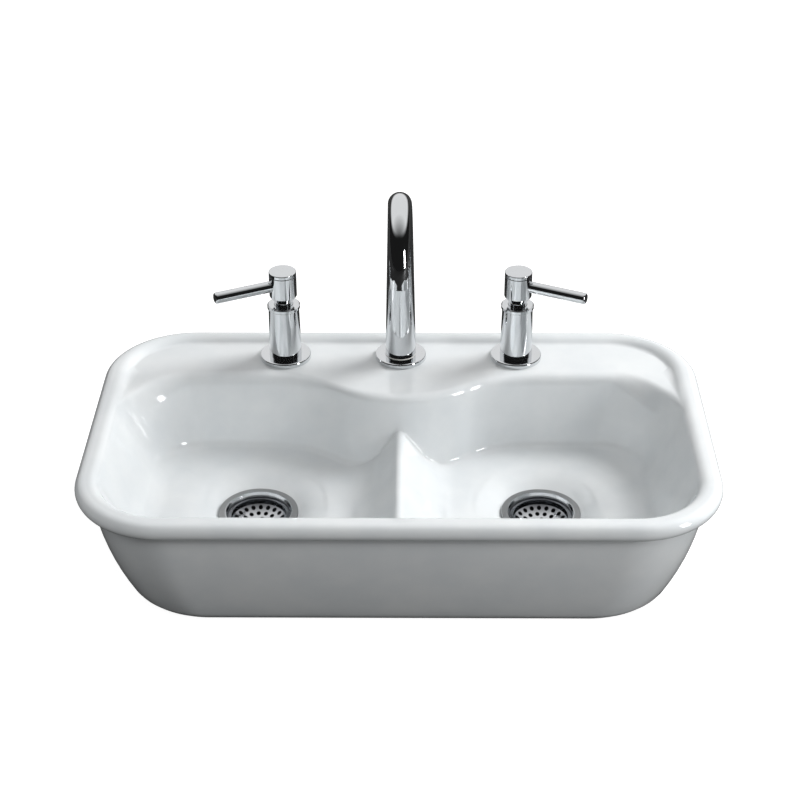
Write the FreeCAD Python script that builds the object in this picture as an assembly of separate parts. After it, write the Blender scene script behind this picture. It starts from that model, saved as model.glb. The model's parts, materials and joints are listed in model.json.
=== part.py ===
# Double-bowl porcelain sink with a gooseneck spout, two lever valves and two basket strainers.
import FreeCAD
import Part
import math
import os

from FreeCAD import Vector

os.makedirs("parts", exist_ok=True)

# Lengths are in millimetres and angles in degrees. X runs to the right, Y to the back, Z up.
# The origin is the middle of the plane that the skirt stands on.

# Cuts run past the face that they open by this much
overrun = 2.0
# Two pieces that are pushed or screwed together
slip_clearance = 0.1
# A shaft that turns in its bore, on the radius
running_clearance = 0.05
# Moving pieces that must not touch
free_clearance = 0.4

# Flat strips that make up a rounded edge of the casting
curve_steps = 8

# Basin outline
basin_width = 838.0
basin_depth = 500.0
basin_height = 196.0
basin_corner_radius = 120.0

# Rolled rim
rim_thickness = 25.0
rim_crest_inset = 18.0
rim_crest_inset_back = 11.0
rim_inner_radius = 15.0

# Bulged apron and the skirt that it ends in
apron_inset = 18.0
apron_top_slope = 5.0
apron_foot_slope = 20.0
apron_back_slope = 2.0
apron_corner_radius = 111.0
foot_corner_radius = 108.0
foot_rounding = 32.0
skirt_wall = 13.0

# Bowls
bowl_depth = 113.0
bowl_wall_slope = 25.0
bowl_floor_fillet = 30.0
bowl_corner_radius = 75.0

# Raised deck behind the bowls, with its waved front edge
deck_recess = 9.0
deck_thickness = 14.0
deck_side_width = 98.0
deck_bulge = 67.0
deck_bulge_half_width = 190.0
deck_edge_radius = 14.0
deck_wall_slope = 15.0
deck_wall_thickness = 14.0
deck_foot_fillet = 12.0
deck_corner_radius = 125.0
deck_burial = 3.0

# Saddle between the bowls
ridge_depth = 56.0
ridge_radius = 6.0
ridge_flank_slope = 42.0
ridge_foot_fillet = 45.0

# Drain openings and the dished floor round them
drain_spacing = 388.0
drain_forward = 33.0
drain_hole_radius = 46.0
drain_seat_radius = 56.0
drain_seat_thickness = 12.0
dish_depth = 18.0
dish_lip_radius = 80.0
dish_lip_angle = 35.0

# Holes for the spout and the valves
tap_spacing = 166.0
tap_setback = 63.0
tap_hole_radius = 17.5

# Threaded shank that clamps the spout or a valve to the deck
shank_radius = 16.0
shank_length = 62.0
collar_radius = 18.5
collar_thickness = 2.5
escutcheon_radius = 36.5
escutcheon_thickness = 7.0
escutcheon_rounding = 2.5
deck_washer_radius = 24.0
deck_washer_thickness = 3.0
clamp_washer_thickness = 2.0
nut_across_flats = 41.0
nut_thickness = 9.0
nut_chamfer = 1.5

# Valve body, cartridge and stem
tail_radius = 10.48
tail_length = 20.0
tail_bore = 5.0
port_radius = 6.0
port_depth = 46.0
passage_radius = 2.2
barrel_radius = 17.0
barrel_height = 56.0
pocket_radius = 12.0
pocket_floor = 22.0
seal_thickness = 2.0
seal_wall = 3.6
disc_radius = 9.2
disc_thickness = 3.0
disc_port_radius = 2.4
disc_port_offset = 5.2
driver_thickness = 4.0
stem_radius = 5.0
stem_top = 111.0
gland_across_flats = 30.0
gland_height = 6.0
window_radius = 2.5

# Sleeve over the valve
sleeve_foot_radius = 23.3
sleeve_waist_radius = 21.7
sleeve_lip_radius = 23.3
sleeve_top = 87.0
sleeve_lip_height = 7.0
sleeve_lip_chamfer = 1.6
sleeve_bore = 19.2
sleeve_top_wall = 6.0

# Handle hub, its cap and the lever
hub_radius = 19.4
hub_neck_radius = 13.4
hub_neck_depth = 4.0
hub_shoulder = 92.0
hub_taper_height = 9.0
hub_top = 132.5
cap_gap = 1.2
cap_top = 138.7
cap_rounding = 1.2
cap_spigot_radius = 11.0
cap_spigot_depth = 5.0
lever_height = 118.0
lever_length = 102.0
lever_radius = 8.0
lever_end_rounding = 3.0
lever_seat_depth = 3.5
lever_tenon_radius = 4.2
lever_tenon_length = 9.0
lever_rest_angle = 25.0
grub_radius = 2.5
grub_length = 9.0
grub_height = 105.0

# Gooseneck spout
spout_reach = 140.0
spout_rise = 286.0
spout_drop = 8.0
spout_foot_radius = 22.0
spout_outlet_radius = 13.2
spout_wall = 2.3
spout_socket_radius = 17.2
spout_socket_depth = 54.0
spout_arch_steps = 10

# Swivel post in the foot of the spout
swivel_washer_thickness = 1.0
post_radius = 15.0
post_height = 52.0
post_bore = 7.5
bush_length = 12.0
ring_section_radius = 1.8
ring_groove_depth = 1.9
ring_heights = (36.0, 44.0)
lock_groove_depth = 1.6
lock_groove_width = 7.0
lock_height = 27.0

# Aerator in the outlet
aerator_depth = 10.0
aerator_lip = 2.4
aerator_wall = 1.6
aerator_seal_thickness = 1.5
aerator_insert_thickness = 5.0
aerator_hole_radius = 1.2
aerator_ring_radius = 5.0
aerator_hole_count = 9

# Strainer body in the drain
gasket_thickness = 2.0
flange_radius = 54.5
flange_thickness = 2.6
flange_rounding = 1.2
flange_mouth_radius = 45.0
throat_radius = 42.4
cup_radius = 44.0
cup_step_wall = 4.3
cup_depth = 40.0
cup_floor = 3.0
cup_corner = 8.0
basket_ledge_depth = 3.0
outlet_radius = 23.9
outlet_length = 20.0
outlet_wall = 2.9
floor_washer_radius = 54.0
floor_washer_thickness = 4.0
friction_ring_thickness = 1.2
drain_nut_radius = 53.0
drain_nut_thickness = 11.0
drain_nut_lug_count = 6
drain_nut_lug_radius = 6.0

# Basket that lifts out of the strainer
basket_sheet = 1.2
basket_wall_height = 8.0
basket_dish_depth = 12.0
basket_gap = 0.9
basket_rim_clearance = 0.4
basket_hole_radius = 3.0
basket_ring_radii = (33.0, 24.5, 16.0)
basket_ring_counts = (20, 15, 9)
knob_radius = 6.6
knob_height = 6.0
knob_rounding = 2.2
post_shaft_radius = 3.0
stopper_radius = 27.5
stopper_thickness = 5.0
stopper_rounding = 1.5
stopper_nut_across_flats = 8.0
stopper_nut_thickness = 3.5

# Worked out from the sizes above
half_width = basin_width / 2
half_depth = basin_depth / 2
rim_underside = basin_height - rim_thickness
deck_level = basin_height - deck_recess
floor_level = basin_height - bowl_depth
seat_level = floor_level - dish_depth
floor_underside = seat_level - drain_seat_thickness
deck_underside = deck_level - deck_thickness
deck_front = half_depth - deck_side_width
ridge_level = basin_height - ridge_depth
tap_y = half_depth - tap_setback
full_turn = 360.0
up = Vector(0, 0, 1)


def edges_along(path, place):
    """Lines and arcs through plane points; a pair of points is an arc's middle and its end."""
    edges = []
    start = place(*path[0])
    for step in path[1:]:
        if isinstance(step[0], tuple):
            end = place(*step[1])
            edges.append(Part.Arc(start, place(*step[0]), end).toShape())
        else:
            end = place(*step)
            edges.append(Part.makeLine(start, end))
        start = end
    return edges


def face_of(path, place):
    """Flat face inside a closed path of lines and arcs."""
    return Part.Face(Part.Wire(edges_along(path + [path[0]], place)))


def turned(path):
    """Solid of revolution about Z from a closed path of (radius, height) points."""
    section = face_of(path, lambda radius, height: Vector(radius, 0, height))
    return section.revolve(Vector(), up, full_turn)


def ring(inner, outer, low, high):
    """Plain ring about Z."""
    return turned([(inner, low), (outer, low), (outer, high), (inner, high)])


def rod(radius, start, direction, length):
    """Round bar from a point along a direction."""
    return Part.makeCylinder(radius, length, start, direction)


def hexagon(across_flats, low, high):
    """Hexagonal bar about Z."""
    corner = across_flats / math.sqrt(3)
    turns = [math.radians(60 * side) for side in range(7)]
    points = [Vector(corner * math.cos(turn), corner * math.sin(turn), low) for turn in turns]
    return Part.Face(Part.makePolygon(points)).extrude(up * (high - low))


def chamfered_nut(across_flats, bore, low, high, chamfer):
    """Hexagon nut with its corners turned down at both ends."""
    corner = across_flats / math.sqrt(3)
    envelope = turned([(bore, low), (corner - chamfer, low), (corner, low + chamfer),
                       (corner, high - chamfer), (corner - chamfer, high), (bore, high)])
    return hexagon(across_flats, low, high).common(envelope)


def arc_points(centre, radius, start, end):
    """Middle and end of an arc, from its centre and two angles."""
    def at(angle):
        turn = math.radians(angle)
        return (centre[0] + radius * math.cos(turn), centre[1] + radius * math.sin(turn))
    return (at((start + end) / 2), at(end))


def rounded_rectangle(half_x, front, back, radius, level):
    """Closed outline with four round corners, at one height."""
    bevel = radius * (1 - math.sqrt(0.5))
    path = [(radius - half_x, front),
            (half_x - radius, front),
            ((half_x - bevel, front + bevel), (half_x, front + radius)),
            (half_x, back - radius),
            ((half_x - bevel, back - bevel), (half_x - radius, back)),
            (radius - half_x, back),
            ((bevel - half_x, back - bevel), (-half_x, back - radius)),
            (-half_x, front + radius),
            ((bevel - half_x, front + bevel), (radius - half_x, front))]
    return Part.Wire(edges_along(path, lambda x, y: Vector(x, y, level)))


def carried_round(path, half_x, front, back, radius, core, low, high):
    """Solid whose edge profile, in (inset, height) points, runs round a rounded rectangle.

    The profile is pushed along the four sides and turned about the four corners. What lies
    inside the core inset is a plain prism."""
    long_side = 2 * (half_x - radius)
    short_side = back - front - 2 * radius
    sides = [(Vector(half_x, front + radius, 0), Vector(-1, 0, 0), Vector(0, short_side, 0)),
             (Vector(half_x - radius, back, 0), Vector(0, -1, 0), Vector(-long_side, 0, 0)),
             (Vector(-half_x, back - radius, 0), Vector(1, 0, 0), Vector(0, -short_side, 0)),
             (Vector(radius - half_x, front, 0), Vector(0, 1, 0), Vector(long_side, 0, 0))]
    outline = rounded_rectangle(half_x - core, front + core, back - core, radius - core, low)
    middle = Part.Face(outline).extrude(up * (high - low))
    pieces = []
    for start, inward, run in sides:
        section = face_of(path, lambda inset, height: start + inward * inset + up * height)
        pieces.append(section.extrude(run))
        corner = start + run + inward * radius
        pieces.append(section.translated(run).revolve(corner, up, full_turn / 4))
    return middle.fuse(pieces).removeSplitter()


def rim_slab():
    """Slab that fills the plan, with the half-round rolled edge of the rim."""
    roll = rim_thickness / 2
    centre = (roll, rim_underside + roll)
    core = (roll + basin_corner_radius) / 2
    path = [(core, rim_underside), (roll, rim_underside), arc_points(centre, roll, 270, 90),
            (core, basin_height)]
    return carried_round(path, half_width, -half_depth, half_depth, basin_corner_radius,
                         core, rim_underside, basin_height)


def back_inset_at(level):
    """How far the steep back of the apron stands in from the rim's outer edge at a height."""
    return apron_inset + (rim_underside - level) * math.tan(math.radians(apron_back_slope))


def apron_sections():
    """Inset and height of the apron's outlines, from its foot up into the rim.

    The wall is one shallow arc between its two slopes, and the foot a tight one below it."""
    top = math.radians(apron_top_slope)
    foot = math.radians(apron_foot_slope)
    foot_start = foot_rounding * (1 - math.sin(foot))
    bulge_radius = (rim_underside - foot_start) / (math.sin(foot) - math.sin(top))
    foot_centre = (apron_inset + bulge_radius * (math.cos(top) - math.cos(foot))
                   + foot_rounding * math.cos(foot))
    foot_part = []
    wall_part = []
    for step in range(curve_steps + 1):
        turn = math.pi / 2 + (foot - math.pi / 2) * step / curve_steps
        foot_part.append((foot_centre - foot_rounding * math.cos(turn),
                          foot_rounding * (1 - math.sin(turn))))
        turn = foot + (top - foot) * step / curve_steps
        wall_part.append((apron_inset + bulge_radius * (math.cos(top) - math.cos(turn)),
                          rim_underside - bulge_radius * (math.sin(turn) - math.sin(top))))
    return foot_part + wall_part[1:] + [(apron_inset, rim_underside + overrun)]


def apron_outline(inset, level, wall):
    """Outline of the apron at a height, or of the hollow inside it, a wall further in."""
    share = level / rim_underside
    radius = foot_corner_radius + (apron_corner_radius - foot_corner_radius) * share
    return rounded_rectangle(half_width - inset - wall, inset + wall - half_depth,
                             half_depth - back_inset_at(level) - wall, radius - wall, level)


def apron():
    """Block under the rim: bulged front and sides, a steep back and a rounded foot."""
    return Part.makeLoft([apron_outline(*section, 0) for section in apron_sections()], True, True)


def wall_profile(edge_radius, edge_level, slope, fillet):
    """Path from a level edge, over its rounding, down a sloped wall and into the floor."""
    turn = 90 - slope
    lean = math.tan(math.radians(slope))
    swing = math.sin(math.radians(turn))
    dip = 1 - math.cos(math.radians(turn))
    edge_run = edge_radius * swing
    edge_end = edge_level - edge_radius * dip
    fillet_start = floor_level + fillet * dip
    fillet_run = edge_run + (edge_end - fillet_start) * lean
    floor_run = fillet_run + fillet * swing
    return {"edge": arc_points((0, edge_level - edge_radius), edge_radius, 90, 90 - turn),
            "wall": (fillet_run, fillet_start),
            "floor": arc_points((floor_run, floor_level + fillet), fillet, 180 + slope, 270),
            "edge_end": (edge_run, edge_end), "floor_run": floor_run, "lean": lean, "turn": turn}


def tub():
    """The whole hollow inside the rim, before the deck and the saddle are put back."""
    wall = wall_profile(rim_inner_radius, basin_height, bowl_wall_slope, bowl_floor_fillet)
    crest_radius = basin_corner_radius - rim_crest_inset
    core = (wall["floor_run"] + crest_radius) / 2
    top = basin_height + overrun
    path = [(0, top), (0, basin_height), wall["edge"], wall["wall"], wall["floor"],
            (core, floor_level), (core, top)]
    return carried_round(path, half_width - rim_crest_inset, rim_crest_inset - half_depth,
                         half_depth - rim_crest_inset_back, crest_radius, core, floor_level, top)


def tub_half_width(level):
    """Half the width between the sloped side walls at a height."""
    wall = wall_profile(rim_inner_radius, basin_height, bowl_wall_slope, bowl_floor_fillet)
    run, end = wall["edge_end"]
    return half_width - rim_crest_inset - run - (end - level) * wall["lean"]


def deck_wave(setback, level):
    """S-shaped front of the deck, a setback behind its line at deck height: three tangent arcs."""
    half = deck_bulge_half_width
    radius = (half ** 2 + deck_bulge ** 2) / (4 * deck_bulge)
    turn = 2 * math.atan2(deck_bulge, half)
    front = deck_front + setback

    def on_arc(centre, angle, hollow):
        return Vector(centre + radius * math.sin(angle),
                      front - radius + radius * math.cos(angle) if hollow
                      else front - deck_bulge + radius - radius * math.cos(angle), level)
    left = [on_arc(-half, share * turn, True) for share in (0, 0.5, 1)]
    middle = [on_arc(0, share * turn, False) for share in (-1, 0, 1)]
    right = [on_arc(half, share * turn, True) for share in (-1, -0.5, 0)]
    return [Part.Arc(*points).toShape() for points in (left, middle, right)]


def deck_outline(forward, level):
    """Outline of the deck block at a height: round bowl corners and the wave between them.

    The corners are wide at the deck and draw in towards the floor."""
    end = tub_half_width(level) + deck_burial
    front = deck_front - forward
    back = half_depth - rim_crest_inset_back - rim_inner_radius + deck_burial
    height_share = (level - floor_level) / (deck_level - floor_level)
    radius = bowl_corner_radius + (deck_corner_radius - bowl_corner_radius) * height_share
    bevel = radius * (1 - math.sqrt(0.5))
    wave = deck_bulge_half_width

    def place(x, y):
        return Vector(x, y, level)
    left = edges_along([(-end, back), (-end, front - radius),
                        ((bevel - end, front - bevel), (radius - end, front)), (-wave, front)], place)
    right = edges_along([(wave, front), (end - radius, front),
                         ((end - bevel, front - bevel), (end, front - radius)), (end, back),
                         (-end, back)], place)
    return Part.Wire(left + deck_wave(-forward, level) + right)


def deck_block():
    """Deck with its waved wall: round at the top edge, sloped, and filleted into the floor."""
    wall = wall_profile(deck_edge_radius, deck_level, deck_wall_slope, deck_foot_fillet)
    floor_part = []
    edge_part = []
    for step in range(curve_steps + 1):
        turn = math.radians(wall["turn"] * step / curve_steps)
        floor_part.append((wall["floor_run"] - deck_foot_fillet * math.sin(turn),
                           floor_level + deck_foot_fillet * (1 - math.cos(turn))))
        edge_part.append((deck_edge_radius * math.sin(turn),
                          deck_level - deck_edge_radius * (1 - math.cos(turn))))
    sections = floor_part + edge_part[::-1]
    return Part.makeLoft([deck_outline(*section) for section in sections], True, True)


def saddle():
    """Low ridge between the bowls, with a round top and flanks that flow into the floor."""
    slope = math.radians(ridge_flank_slope)
    ridge_centre = ridge_level - ridge_radius
    flank_top = (ridge_radius * math.cos(slope), ridge_centre + ridge_radius * math.sin(slope))
    foot_start = floor_level + ridge_foot_fillet * (1 - math.sin(slope))
    flank_run = flank_top[0] + (flank_top[1] - foot_start) * math.tan(slope)
    foot = flank_run + ridge_foot_fillet * math.cos(slope)
    centre = floor_level + ridge_foot_fillet
    root = floor_level - overrun
    path = [(-foot, root), (-foot, floor_level),
            arc_points((-foot, centre), ridge_foot_fillet, 270, 360 - ridge_flank_slope),
            (-flank_top[0], flank_top[1]),
            arc_points((0, ridge_centre), ridge_radius, 180 - ridge_flank_slope, ridge_flank_slope),
            (flank_run, foot_start),
            arc_points((foot, centre), ridge_foot_fillet, 180 + ridge_flank_slope, 270),
            (foot, root)]
    wall = wall_profile(rim_inner_radius, basin_height, bowl_wall_slope, bowl_floor_fillet)
    run, end = wall["edge_end"]
    front = rim_crest_inset - half_depth + run + (end - ridge_level) * wall["lean"] - deck_burial
    section = face_of(path, lambda x, height: Vector(x, front, height))
    return section.extrude(Vector(0, deck_front - deck_bulge - front, 0))


def floor_dish():
    """Rolled dip in a bowl's floor, with the flat seat and the hole of its drain."""
    turn = math.radians(dish_lip_angle)
    lip_dip = dish_lip_radius * (1 - math.cos(turn))
    cone_run = (dish_depth - lip_dip) / math.tan(turn)
    lip_end = drain_seat_radius + cone_run
    lip_start = lip_end + dish_lip_radius * math.sin(turn)
    centre = (lip_start, floor_level - dish_lip_radius)
    top = floor_level + overrun
    low = floor_underside - overrun
    return turned([(0, low), (drain_hole_radius, low), (drain_hole_radius, seat_level),
                   (drain_seat_radius, seat_level), (lip_end, floor_level - lip_dip),
                   arc_points(centre, dish_lip_radius, 90 + dish_lip_angle, 90),
                   (lip_start, top), (0, top)])


def underside_hollow():
    """Open space inside the skirt and, behind the bowls, up to the underside of the deck."""
    sections = apron_sections()
    skirt = Part.makeLoft([apron_outline(*section, skirt_wall) for section in sections], True, True)
    mouth = Part.Face(apron_outline(*sections[0], skirt_wall)).extrude(up * -overrun)
    below = Part.makeBox(basin_width, basin_depth, floor_underside,
                         Vector(-half_width, -half_depth, 0))
    wall = wall_profile(deck_edge_radius, deck_level, deck_wall_slope, deck_foot_fillet)
    setback = deck_wall_thickness - wall["edge_end"][0]
    front = deck_front + setback
    back = half_depth - back_inset_at(0) - skirt_wall
    wave = deck_bulge_half_width
    side = half_width - sections[0][0] - skirt_wall

    def place(x, y):
        return Vector(x, y, 0)
    ends = edges_along([(wave, front), (side, front), (side, back), (-side, back),
                        (-side, front), (-wave, front)], place)
    behind = Part.Face(Part.Wire(deck_wave(setback, 0) + ends)).extrude(up * deck_underside)
    return skirt.common(below.fuse(behind)).fuse(mouth)


def drain_places():
    """Left and right drain centres."""
    return {"left": (-drain_spacing / 2, -drain_forward), "right": (drain_spacing / 2, -drain_forward)}


def valve_places():
    """Left and right valve centres."""
    return {"left": (-tap_spacing, tap_y), "right": (tap_spacing, tap_y)}


def placed(shape, place, level):
    """Copy of a shape made about the Z axis, moved to its place."""
    return shape.translated(Vector(place[0], place[1], level))


def basin():
    """The porcelain casting."""
    cuts = [underside_hollow()]
    for place in drain_places().values():
        cuts.append(placed(floor_dish(), place, 0))
    for place in [(0, tap_y)] + list(valve_places().values()):
        hole = rod(tap_hole_radius, Vector(0, 0, -deck_thickness - overrun), up,
                   deck_thickness + 2 * overrun)
        cuts.append(placed(hole, place, deck_level))
    bowls = tub().cut([deck_block(), saddle()])
    return rim_slab().fuse(apron()).cut([bowls] + cuts).removeSplitter()


def deck_washer():
    """Rubber washer under the deck; heights are from the deck's top."""
    high = -deck_thickness
    return ring(shank_radius + slip_clearance, deck_washer_radius, high - deck_washer_thickness, high)


def clamp_washer():
    """Steel washer under the rubber one."""
    high = -deck_thickness - deck_washer_thickness
    return ring(shank_radius + slip_clearance, deck_washer_radius, high - clamp_washer_thickness, high)


def mounting_nut():
    """Nut that pulls a shank down on the deck."""
    high = -deck_thickness - deck_washer_thickness - clamp_washer_thickness
    return chamfered_nut(nut_across_flats, shank_radius + slip_clearance, high - nut_thickness, high,
                         nut_chamfer)


def escutcheon():
    """Round plate on the deck that a shank's collar clamps."""
    edge = escutcheon_radius - escutcheon_rounding
    centre = (edge, escutcheon_thickness - escutcheon_rounding)
    bore = shank_radius + slip_clearance
    return turned([(bore, 0), (escutcheon_radius, 0), (escutcheon_radius, centre[1]),
                   arc_points(centre, escutcheon_rounding, 0, 90), (bore, escutcheon_thickness)])


def valve_body(towards_spout):
    """Brass valve: inlet tail, shank, collar and the barrel that holds the cartridge."""
    collar_top = escutcheon_thickness + collar_thickness
    tail_end = -shank_length - tail_length
    body = turned([(tail_bore, tail_end), (tail_radius, tail_end), (tail_radius, -shank_length),
                   (shank_radius, -shank_length), (shank_radius, escutcheon_thickness),
                   (collar_radius, escutcheon_thickness), (collar_radius, collar_top),
                   (barrel_radius, collar_top), (barrel_radius, barrel_height),
                   (pocket_radius, barrel_height), (pocket_radius, pocket_floor),
                   (tail_bore, pocket_floor)])
    passage_x = towards_spout * (pocket_radius - passage_radius - free_clearance)
    passage = rod(passage_radius, Vector(passage_x, 0, -port_depth), up, port_depth + pocket_floor)
    port = rod(port_radius, Vector(passage_x, 0, -port_depth), Vector(towards_spout, 0, 0), shank_radius)
    return body.cut([passage, port])


def seat_seal():
    """Rubber seal between the pocket's floor and the lower disc."""
    outer = tail_bore + seal_wall
    return ring(tail_bore, outer, pocket_floor, pocket_floor + seal_thickness)


def ceramic_disc(low, angle):
    """Ceramic disc with its two ports at an angle; a quarter turn between two discs shuts them."""
    turn = math.radians(angle)
    offset = Vector(math.cos(turn), math.sin(turn), 0) * disc_port_offset
    level = up * (low - overrun)
    length = disc_thickness + 2 * overrun
    ports = [rod(disc_port_radius, level + offset * side, up, length) for side in (1, -1)]
    return rod(disc_radius, up * low, up, disc_thickness).cut(ports)


def cartridge():
    """Cartridge shell with a hexagon gland, screwed into the barrel over the two discs."""
    low = pocket_floor + seal_thickness
    driver_low = low + 2 * disc_thickness
    chamber_top = driver_low + driver_thickness + free_clearance
    chamber = disc_radius + free_clearance
    bore = stem_radius
    shell = turned([(chamber, low), (pocket_radius - slip_clearance, low),
                    (pocket_radius - slip_clearance, barrel_height), (bore, barrel_height),
                    (bore, chamber_top), (chamber, chamber_top)])
    window_level = up * (low + disc_thickness / 2)
    windows = [rod(window_radius, window_level, Vector(0, side, 0), pocket_radius) for side in (1, -1)]
    gland = hexagon(gland_across_flats, barrel_height, barrel_height + gland_height)
    hole = rod(bore, up * barrel_height, up, gland_height)
    return shell.cut(windows).fuse(gland.cut(hole)).removeSplitter()


def stem():
    """Stem that turns the upper disc."""
    low = pocket_floor + seal_thickness + 2 * disc_thickness
    shoulder = low + driver_thickness
    shaft = stem_radius - running_clearance
    return turned([(0, low), (disc_radius, low), (disc_radius, shoulder), (shaft, shoulder),
                   (shaft, stem_top), (0, stem_top)])


def valve_sleeve():
    """Slightly tapered sleeve over the valve, with a chamfered lip round its top."""
    lip_foot = sleeve_top - sleeve_lip_height
    roof = sleeve_top - sleeve_top_wall
    neck = hub_neck_radius + free_clearance
    chamfer = sleeve_lip_chamfer
    low = escutcheon_thickness
    return turned([(sleeve_bore, low), (sleeve_foot_radius, low), (sleeve_waist_radius, lip_foot),
                   (sleeve_lip_radius, lip_foot + chamfer), (sleeve_lip_radius, sleeve_top - chamfer),
                   (sleeve_lip_radius - chamfer, sleeve_top), (neck, sleeve_top), (neck, roof),
                   (sleeve_bore, roof)])


def lever_direction(side):
    """Direction of a lever at rest: outwards, turned a little to the front."""
    turn = math.radians(lever_rest_angle)
    return Vector(side * math.cos(turn), -math.sin(turn), 0)


def handle_hub(side):
    """Hub on the stem: a neck, a taper, a plain drum, and sockets for the lever and its screw."""
    neck_low = sleeve_top - hub_neck_depth
    taper_top = hub_shoulder + hub_taper_height
    bore = stem_radius - running_clearance + slip_clearance
    bore_top = stem_top + slip_clearance
    cap_hole = cap_spigot_radius + slip_clearance
    cap_floor = hub_top - cap_spigot_depth
    hub = turned([(bore, neck_low), (hub_neck_radius, neck_low), (hub_neck_radius, hub_shoulder),
                  (hub_radius, taper_top), (hub_radius, hub_top), (cap_hole, hub_top),
                  (cap_hole, cap_floor), (0, cap_floor), (0, bore_top), (bore, bore_top)])
    out = lever_direction(side)
    lever_level = up * lever_height
    socket_depth = hub_radius - lever_seat_depth
    socket = rod(lever_radius + slip_clearance, lever_level + out * socket_depth, out, hub_radius)
    tenon_end = socket_depth - lever_tenon_length
    tenon = rod(lever_tenon_radius + slip_clearance, lever_level + out * tenon_end, out, hub_radius)
    screw = rod(grub_radius + slip_clearance, up * grub_height, out * -1, hub_radius + overrun)
    return hub.cut([socket, tenon, screw])


def hub_cap():
    """Cap pushed into the hub, a shadow gap above it."""
    low = hub_top + cap_gap
    foot = hub_top - cap_spigot_depth
    edge = hub_radius - cap_rounding
    neck = hub_radius - cap_gap
    return turned([(0, foot), (cap_spigot_radius, foot), (cap_spigot_radius, hub_top),
                   (neck, hub_top), (neck, low), (hub_radius, low), (hub_radius, cap_top - cap_rounding),
                   arc_points((edge, cap_top - cap_rounding), cap_rounding, 0, 90), (0, cap_top)])


def lever(side):
    """Round lever with a soft end, seated in the hub by a tenon."""
    seat = hub_radius - lever_seat_depth
    root = seat - lever_tenon_length
    edge = lever_radius - lever_end_rounding
    centre = (edge, lever_length - lever_end_rounding)
    bar = turned([(0, root), (lever_tenon_radius, root), (lever_tenon_radius, seat),
                  (lever_radius, seat), (lever_radius, centre[1]),
                  arc_points(centre, lever_end_rounding, 0, 90), (0, lever_length)])
    return laid_along(bar, lever_direction(side), lever_height)


def laid_along(bar, direction, level):
    """A bar made about Z, turned to lie along a direction at a height."""
    turn = FreeCAD.Rotation(up, direction)
    return bar.transformGeometry(FreeCAD.Placement(up * level, turn).toMatrix())


def grub_screw(start, direction, level):
    """Headless screw lying along a direction, from a distance off the axis."""
    return rod(grub_radius, up * level + direction * start, direction, grub_length)


def handle_screw(side):
    """Screw that locks the hub on the stem, opposite the lever."""
    return grub_screw(stem_radius, lever_direction(side) * -1, grub_height)


def spout_length():
    """Length of the spout's centre line: column, half-round arch and outlet."""
    return spout_arch_level() - spout_low() + math.pi * spout_reach / 2 + spout_drop


def spout_low():
    """Height of the spout's foot over the deck."""
    return escutcheon_thickness + swivel_washer_thickness


def spout_radius_at(distance):
    """Outer radius along the centre line, an even taper from foot to outlet."""
    share = distance / spout_length()
    return spout_foot_radius + (spout_outlet_radius - spout_foot_radius) * share


def spout_arch_level():
    """Height of the arch's centre over the deck."""
    return spout_rise - spout_reach / 2 - (spout_foot_radius + spout_outlet_radius) / 2


def spout_skin(inset):
    """Tapered column, arch and outlet as one solid, its surface drawn in by an inset."""
    arch = spout_arch_level()
    column = arch - spout_low()
    bend = spout_reach / 2
    foot = up * spout_low()
    pieces = [Part.makeCone(spout_foot_radius - inset, spout_radius_at(column) - inset, column, foot)]
    rings = []
    for step in range(spout_arch_steps + 1):
        turn = math.pi * step / spout_arch_steps
        centre = Vector(0, bend * (math.cos(turn) - 1), arch + bend * math.sin(turn))
        along = Vector(0, -math.sin(turn), math.cos(turn))
        radius = spout_radius_at(column + bend * turn) - inset
        rings.append(Part.Wire(Part.makeCircle(radius, centre, along)))
    pieces.append(Part.makeLoft(rings, True, False))
    outlet = Vector(0, -spout_reach, arch)
    start = spout_radius_at(spout_length() - spout_drop) - inset
    pieces.append(Part.makeCone(start, spout_outlet_radius - inset, spout_drop, outlet, up * -1))
    return pieces[0].fuse(pieces[1:]).removeSplitter()


def spout_tube():
    """Hollow gooseneck with a socket for the swivel post and a seat for the aerator."""
    low = spout_low()
    collar_room = escutcheon_thickness + collar_thickness + free_clearance
    outlet_level = spout_arch_level() - spout_drop
    outlet = Vector(0, -spout_reach, outlet_level - overrun)
    screw = rod(grub_radius + slip_clearance, up * lock_height, Vector(0, 1, 0), spout_foot_radius)
    cuts = [rod(spout_socket_radius, up * (low - overrun), up, spout_socket_depth + overrun),
            rod(collar_radius + free_clearance, up * (low - overrun), up, collar_room - low + overrun),
            rod(aerator_outer(), outlet, up, aerator_depth + overrun), screw]
    return spout_skin(0).cut(spout_skin(spout_wall)).cut(cuts)


def spout_shank():
    """Inlet tail, shank and the post that the spout turns on, with grooves and a water way."""
    collar_top = escutcheon_thickness + collar_thickness
    top = spout_low() + post_height
    tail_end = -shank_length - tail_length
    shank = turned([(post_bore, tail_end), (tail_radius, tail_end), (tail_radius, -shank_length),
                    (shank_radius, -shank_length), (shank_radius, escutcheon_thickness),
                    (collar_radius, escutcheon_thickness), (collar_radius, collar_top),
                    (post_radius, collar_top), (post_radius, top), (post_bore, top)])
    cuts = []
    for level in ring_heights:
        cuts.append(ring(post_radius - ring_groove_depth, post_radius + overrun,
                         level - ring_section_radius - slip_clearance,
                         level + ring_section_radius + slip_clearance))
    cuts.append(ring(post_radius - lock_groove_depth, post_radius + overrun,
                     lock_height - lock_groove_width / 2, lock_height + lock_groove_width / 2))
    return shank.cut(cuts)


def swivel_washer():
    """Thin plastic washer that the spout's foot turns on."""
    return ring(collar_radius + free_clearance, spout_foot_radius, escutcheon_thickness, spout_low())


def swivel_bush():
    """Plastic bush between the post and the spout's socket."""
    low = escutcheon_thickness + collar_thickness
    return ring(post_radius + slip_clearance, spout_socket_radius - running_clearance, low,
                low + bush_length)


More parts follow.
